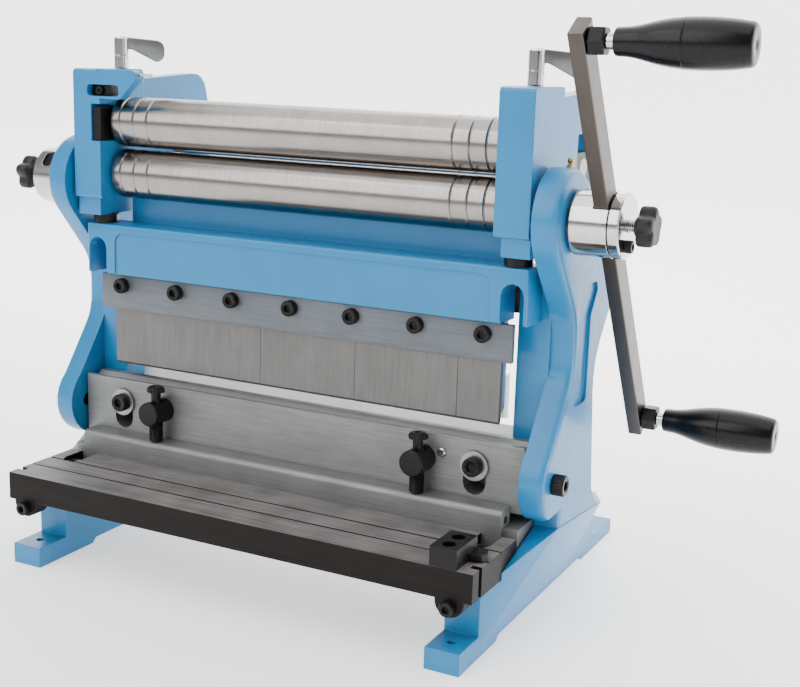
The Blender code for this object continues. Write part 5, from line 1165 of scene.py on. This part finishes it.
@dataclass
class Studio:
    """Pale sweep, soft lights and the camera at the photograph's angle."""

    place: tuple[float, float, float] = (0.4289, -0.8059, 0.3636)
    right: tuple[float, float, float] = (0.88978, 0.45530, 0.03133)
    up: tuple[float, float, float] = (-0.12597, 0.17905, 0.97574)
    ahead: tuple[float, float, float] = (-0.43865, 0.87215, -0.21667)
    lens: float = 58.72
    sensor: float = 36.0
    paper_glow: float = 2.4
    front_glow: float = 0.55
    world_light: float = 0.42
    floor_half: float = 20.0
    bend_start: float = 2.4
    bend: float = 1.2
    bend_steps: int = 12
    wall: float = 6.0
    aim: tuple[float, float, float] = (0.0, 0.0, 0.18)

    def build(self) -> None:
        """Adds the sweep, the lights and the camera."""
        self._sweep()
        self._world()
        self._light("key", (-0.7, -1.6, 1.3), 1.6, 33.0)
        self._light("fill", (1.9, -0.6, 0.8), 1.1, 3.0)
        self._light("overhead", (0.0, 0.0, 1.8), 2.4, 46.0)
        self._light("rim", (-0.5, 1.7, 1.1), 1.0, 6.0)
        self._camera()

    def _sweep(self) -> None:
        """Floor that rises into a backdrop in one curve, and glows more towards the rear."""
        shape = bmesh.new()
        line = [(-self.floor_half, 0.0), (self.bend_start, 0.0)]
        for step in range(1, self.bend_steps + 1):
            angle = math.pi / 2 * step / self.bend_steps
            line.append((self.bend_start + self.bend * math.sin(angle),
                         self.bend * (1 - math.cos(angle))))
        line.append((self.bend_start + self.bend, self.wall))
        left = [shape.verts.new((-self.floor_half, y, z)) for y, z in line]
        right = [shape.verts.new((self.floor_half, y, z)) for y, z in line]
        for index in range(len(line) - 1):
            shape.faces.new((left[index], right[index], right[index + 1], left[index + 1]))
        mesh = bpy.data.meshes.new("studio_sweep")
        shape.to_mesh(mesh)
        shape.free()
        mesh.shade_smooth()
        paper = bpy.data.materials.new("white_paper_sweep")
        paper.use_nodes = True
        shader = paper.node_tree.nodes["Principled BSDF"]
        shader.inputs["Base Color"].default_value = linear("#f6f6f5")
        shader.inputs["Roughness"].default_value = 0.85
        shader.inputs["Emission Color"].default_value = linear("#ffffff")
        place = add_node(paper.node_tree, "ShaderNodeTexCoord").outputs["Object"]
        depth = add_node(paper.node_tree, "ShaderNodeSeparateXYZ", {0: place}).outputs[1]
        glow = ranged(paper.node_tree, depth, -0.4, 0.9, self.front_glow, self.paper_glow,
                      "SMOOTHSTEP")
        paper.node_tree.links.new(glow, shader.inputs["Emission Strength"])
        mesh.materials.append(paper)
        in_scene("studio_sweep", mesh)

    def _world(self) -> None:
        """Even white surroundings."""
        world = bpy.data.worlds.new("studio")
        world.use_nodes = True
        ground = world.node_tree.nodes["Background"]
        ground.inputs["Color"].default_value = linear("#fbfbfa")
        ground.inputs["Strength"].default_value = self.world_light
        bpy.context.scene.world = world

    def _light(self, name: str, place: tuple[float, float, float], size: float,
               power: float) -> None:
        """Square soft light aimed at the machine's middle."""
        lamp = bpy.data.lights.new(name, "AREA")
        lamp.shape = "SQUARE"
        lamp.size = size
        lamp.energy = power
        made = in_scene(name, lamp)
        aim = Vector(self.aim) - Vector(place)
        made.matrix_world = (Matrix.Translation(place)
                             @ aim.to_track_quat("-Z", "Y").to_matrix().to_4x4())

    def _camera(self) -> None:
        """Camera that frames the machine as the photograph does."""
        lens = bpy.data.cameras.new("camera")
        lens.lens = self.lens
        lens.sensor_width = self.sensor
        made = in_scene("camera", lens)
        columns = Matrix((self.right, self.up, tuple(-part for part in self.ahead))).transposed()
        made.matrix_world = Matrix.Translation(self.place) @ columns.to_4x4()
        bpy.context.scene.camera = made


def main() -> None:
    """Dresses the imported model, adds the detailed pieces, and sets the studio."""
    logging.basicConfig(level=logging.INFO)
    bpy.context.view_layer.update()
    dress_nodes()
    recast_nodes()
    fasteners = Fasteners()
    Rolls().build()
    Fittings(fasteners).build()
    Levers().build()
    Handles(fasteners).build()
    Studio().build()


if __name__ == "__main__":
    main()
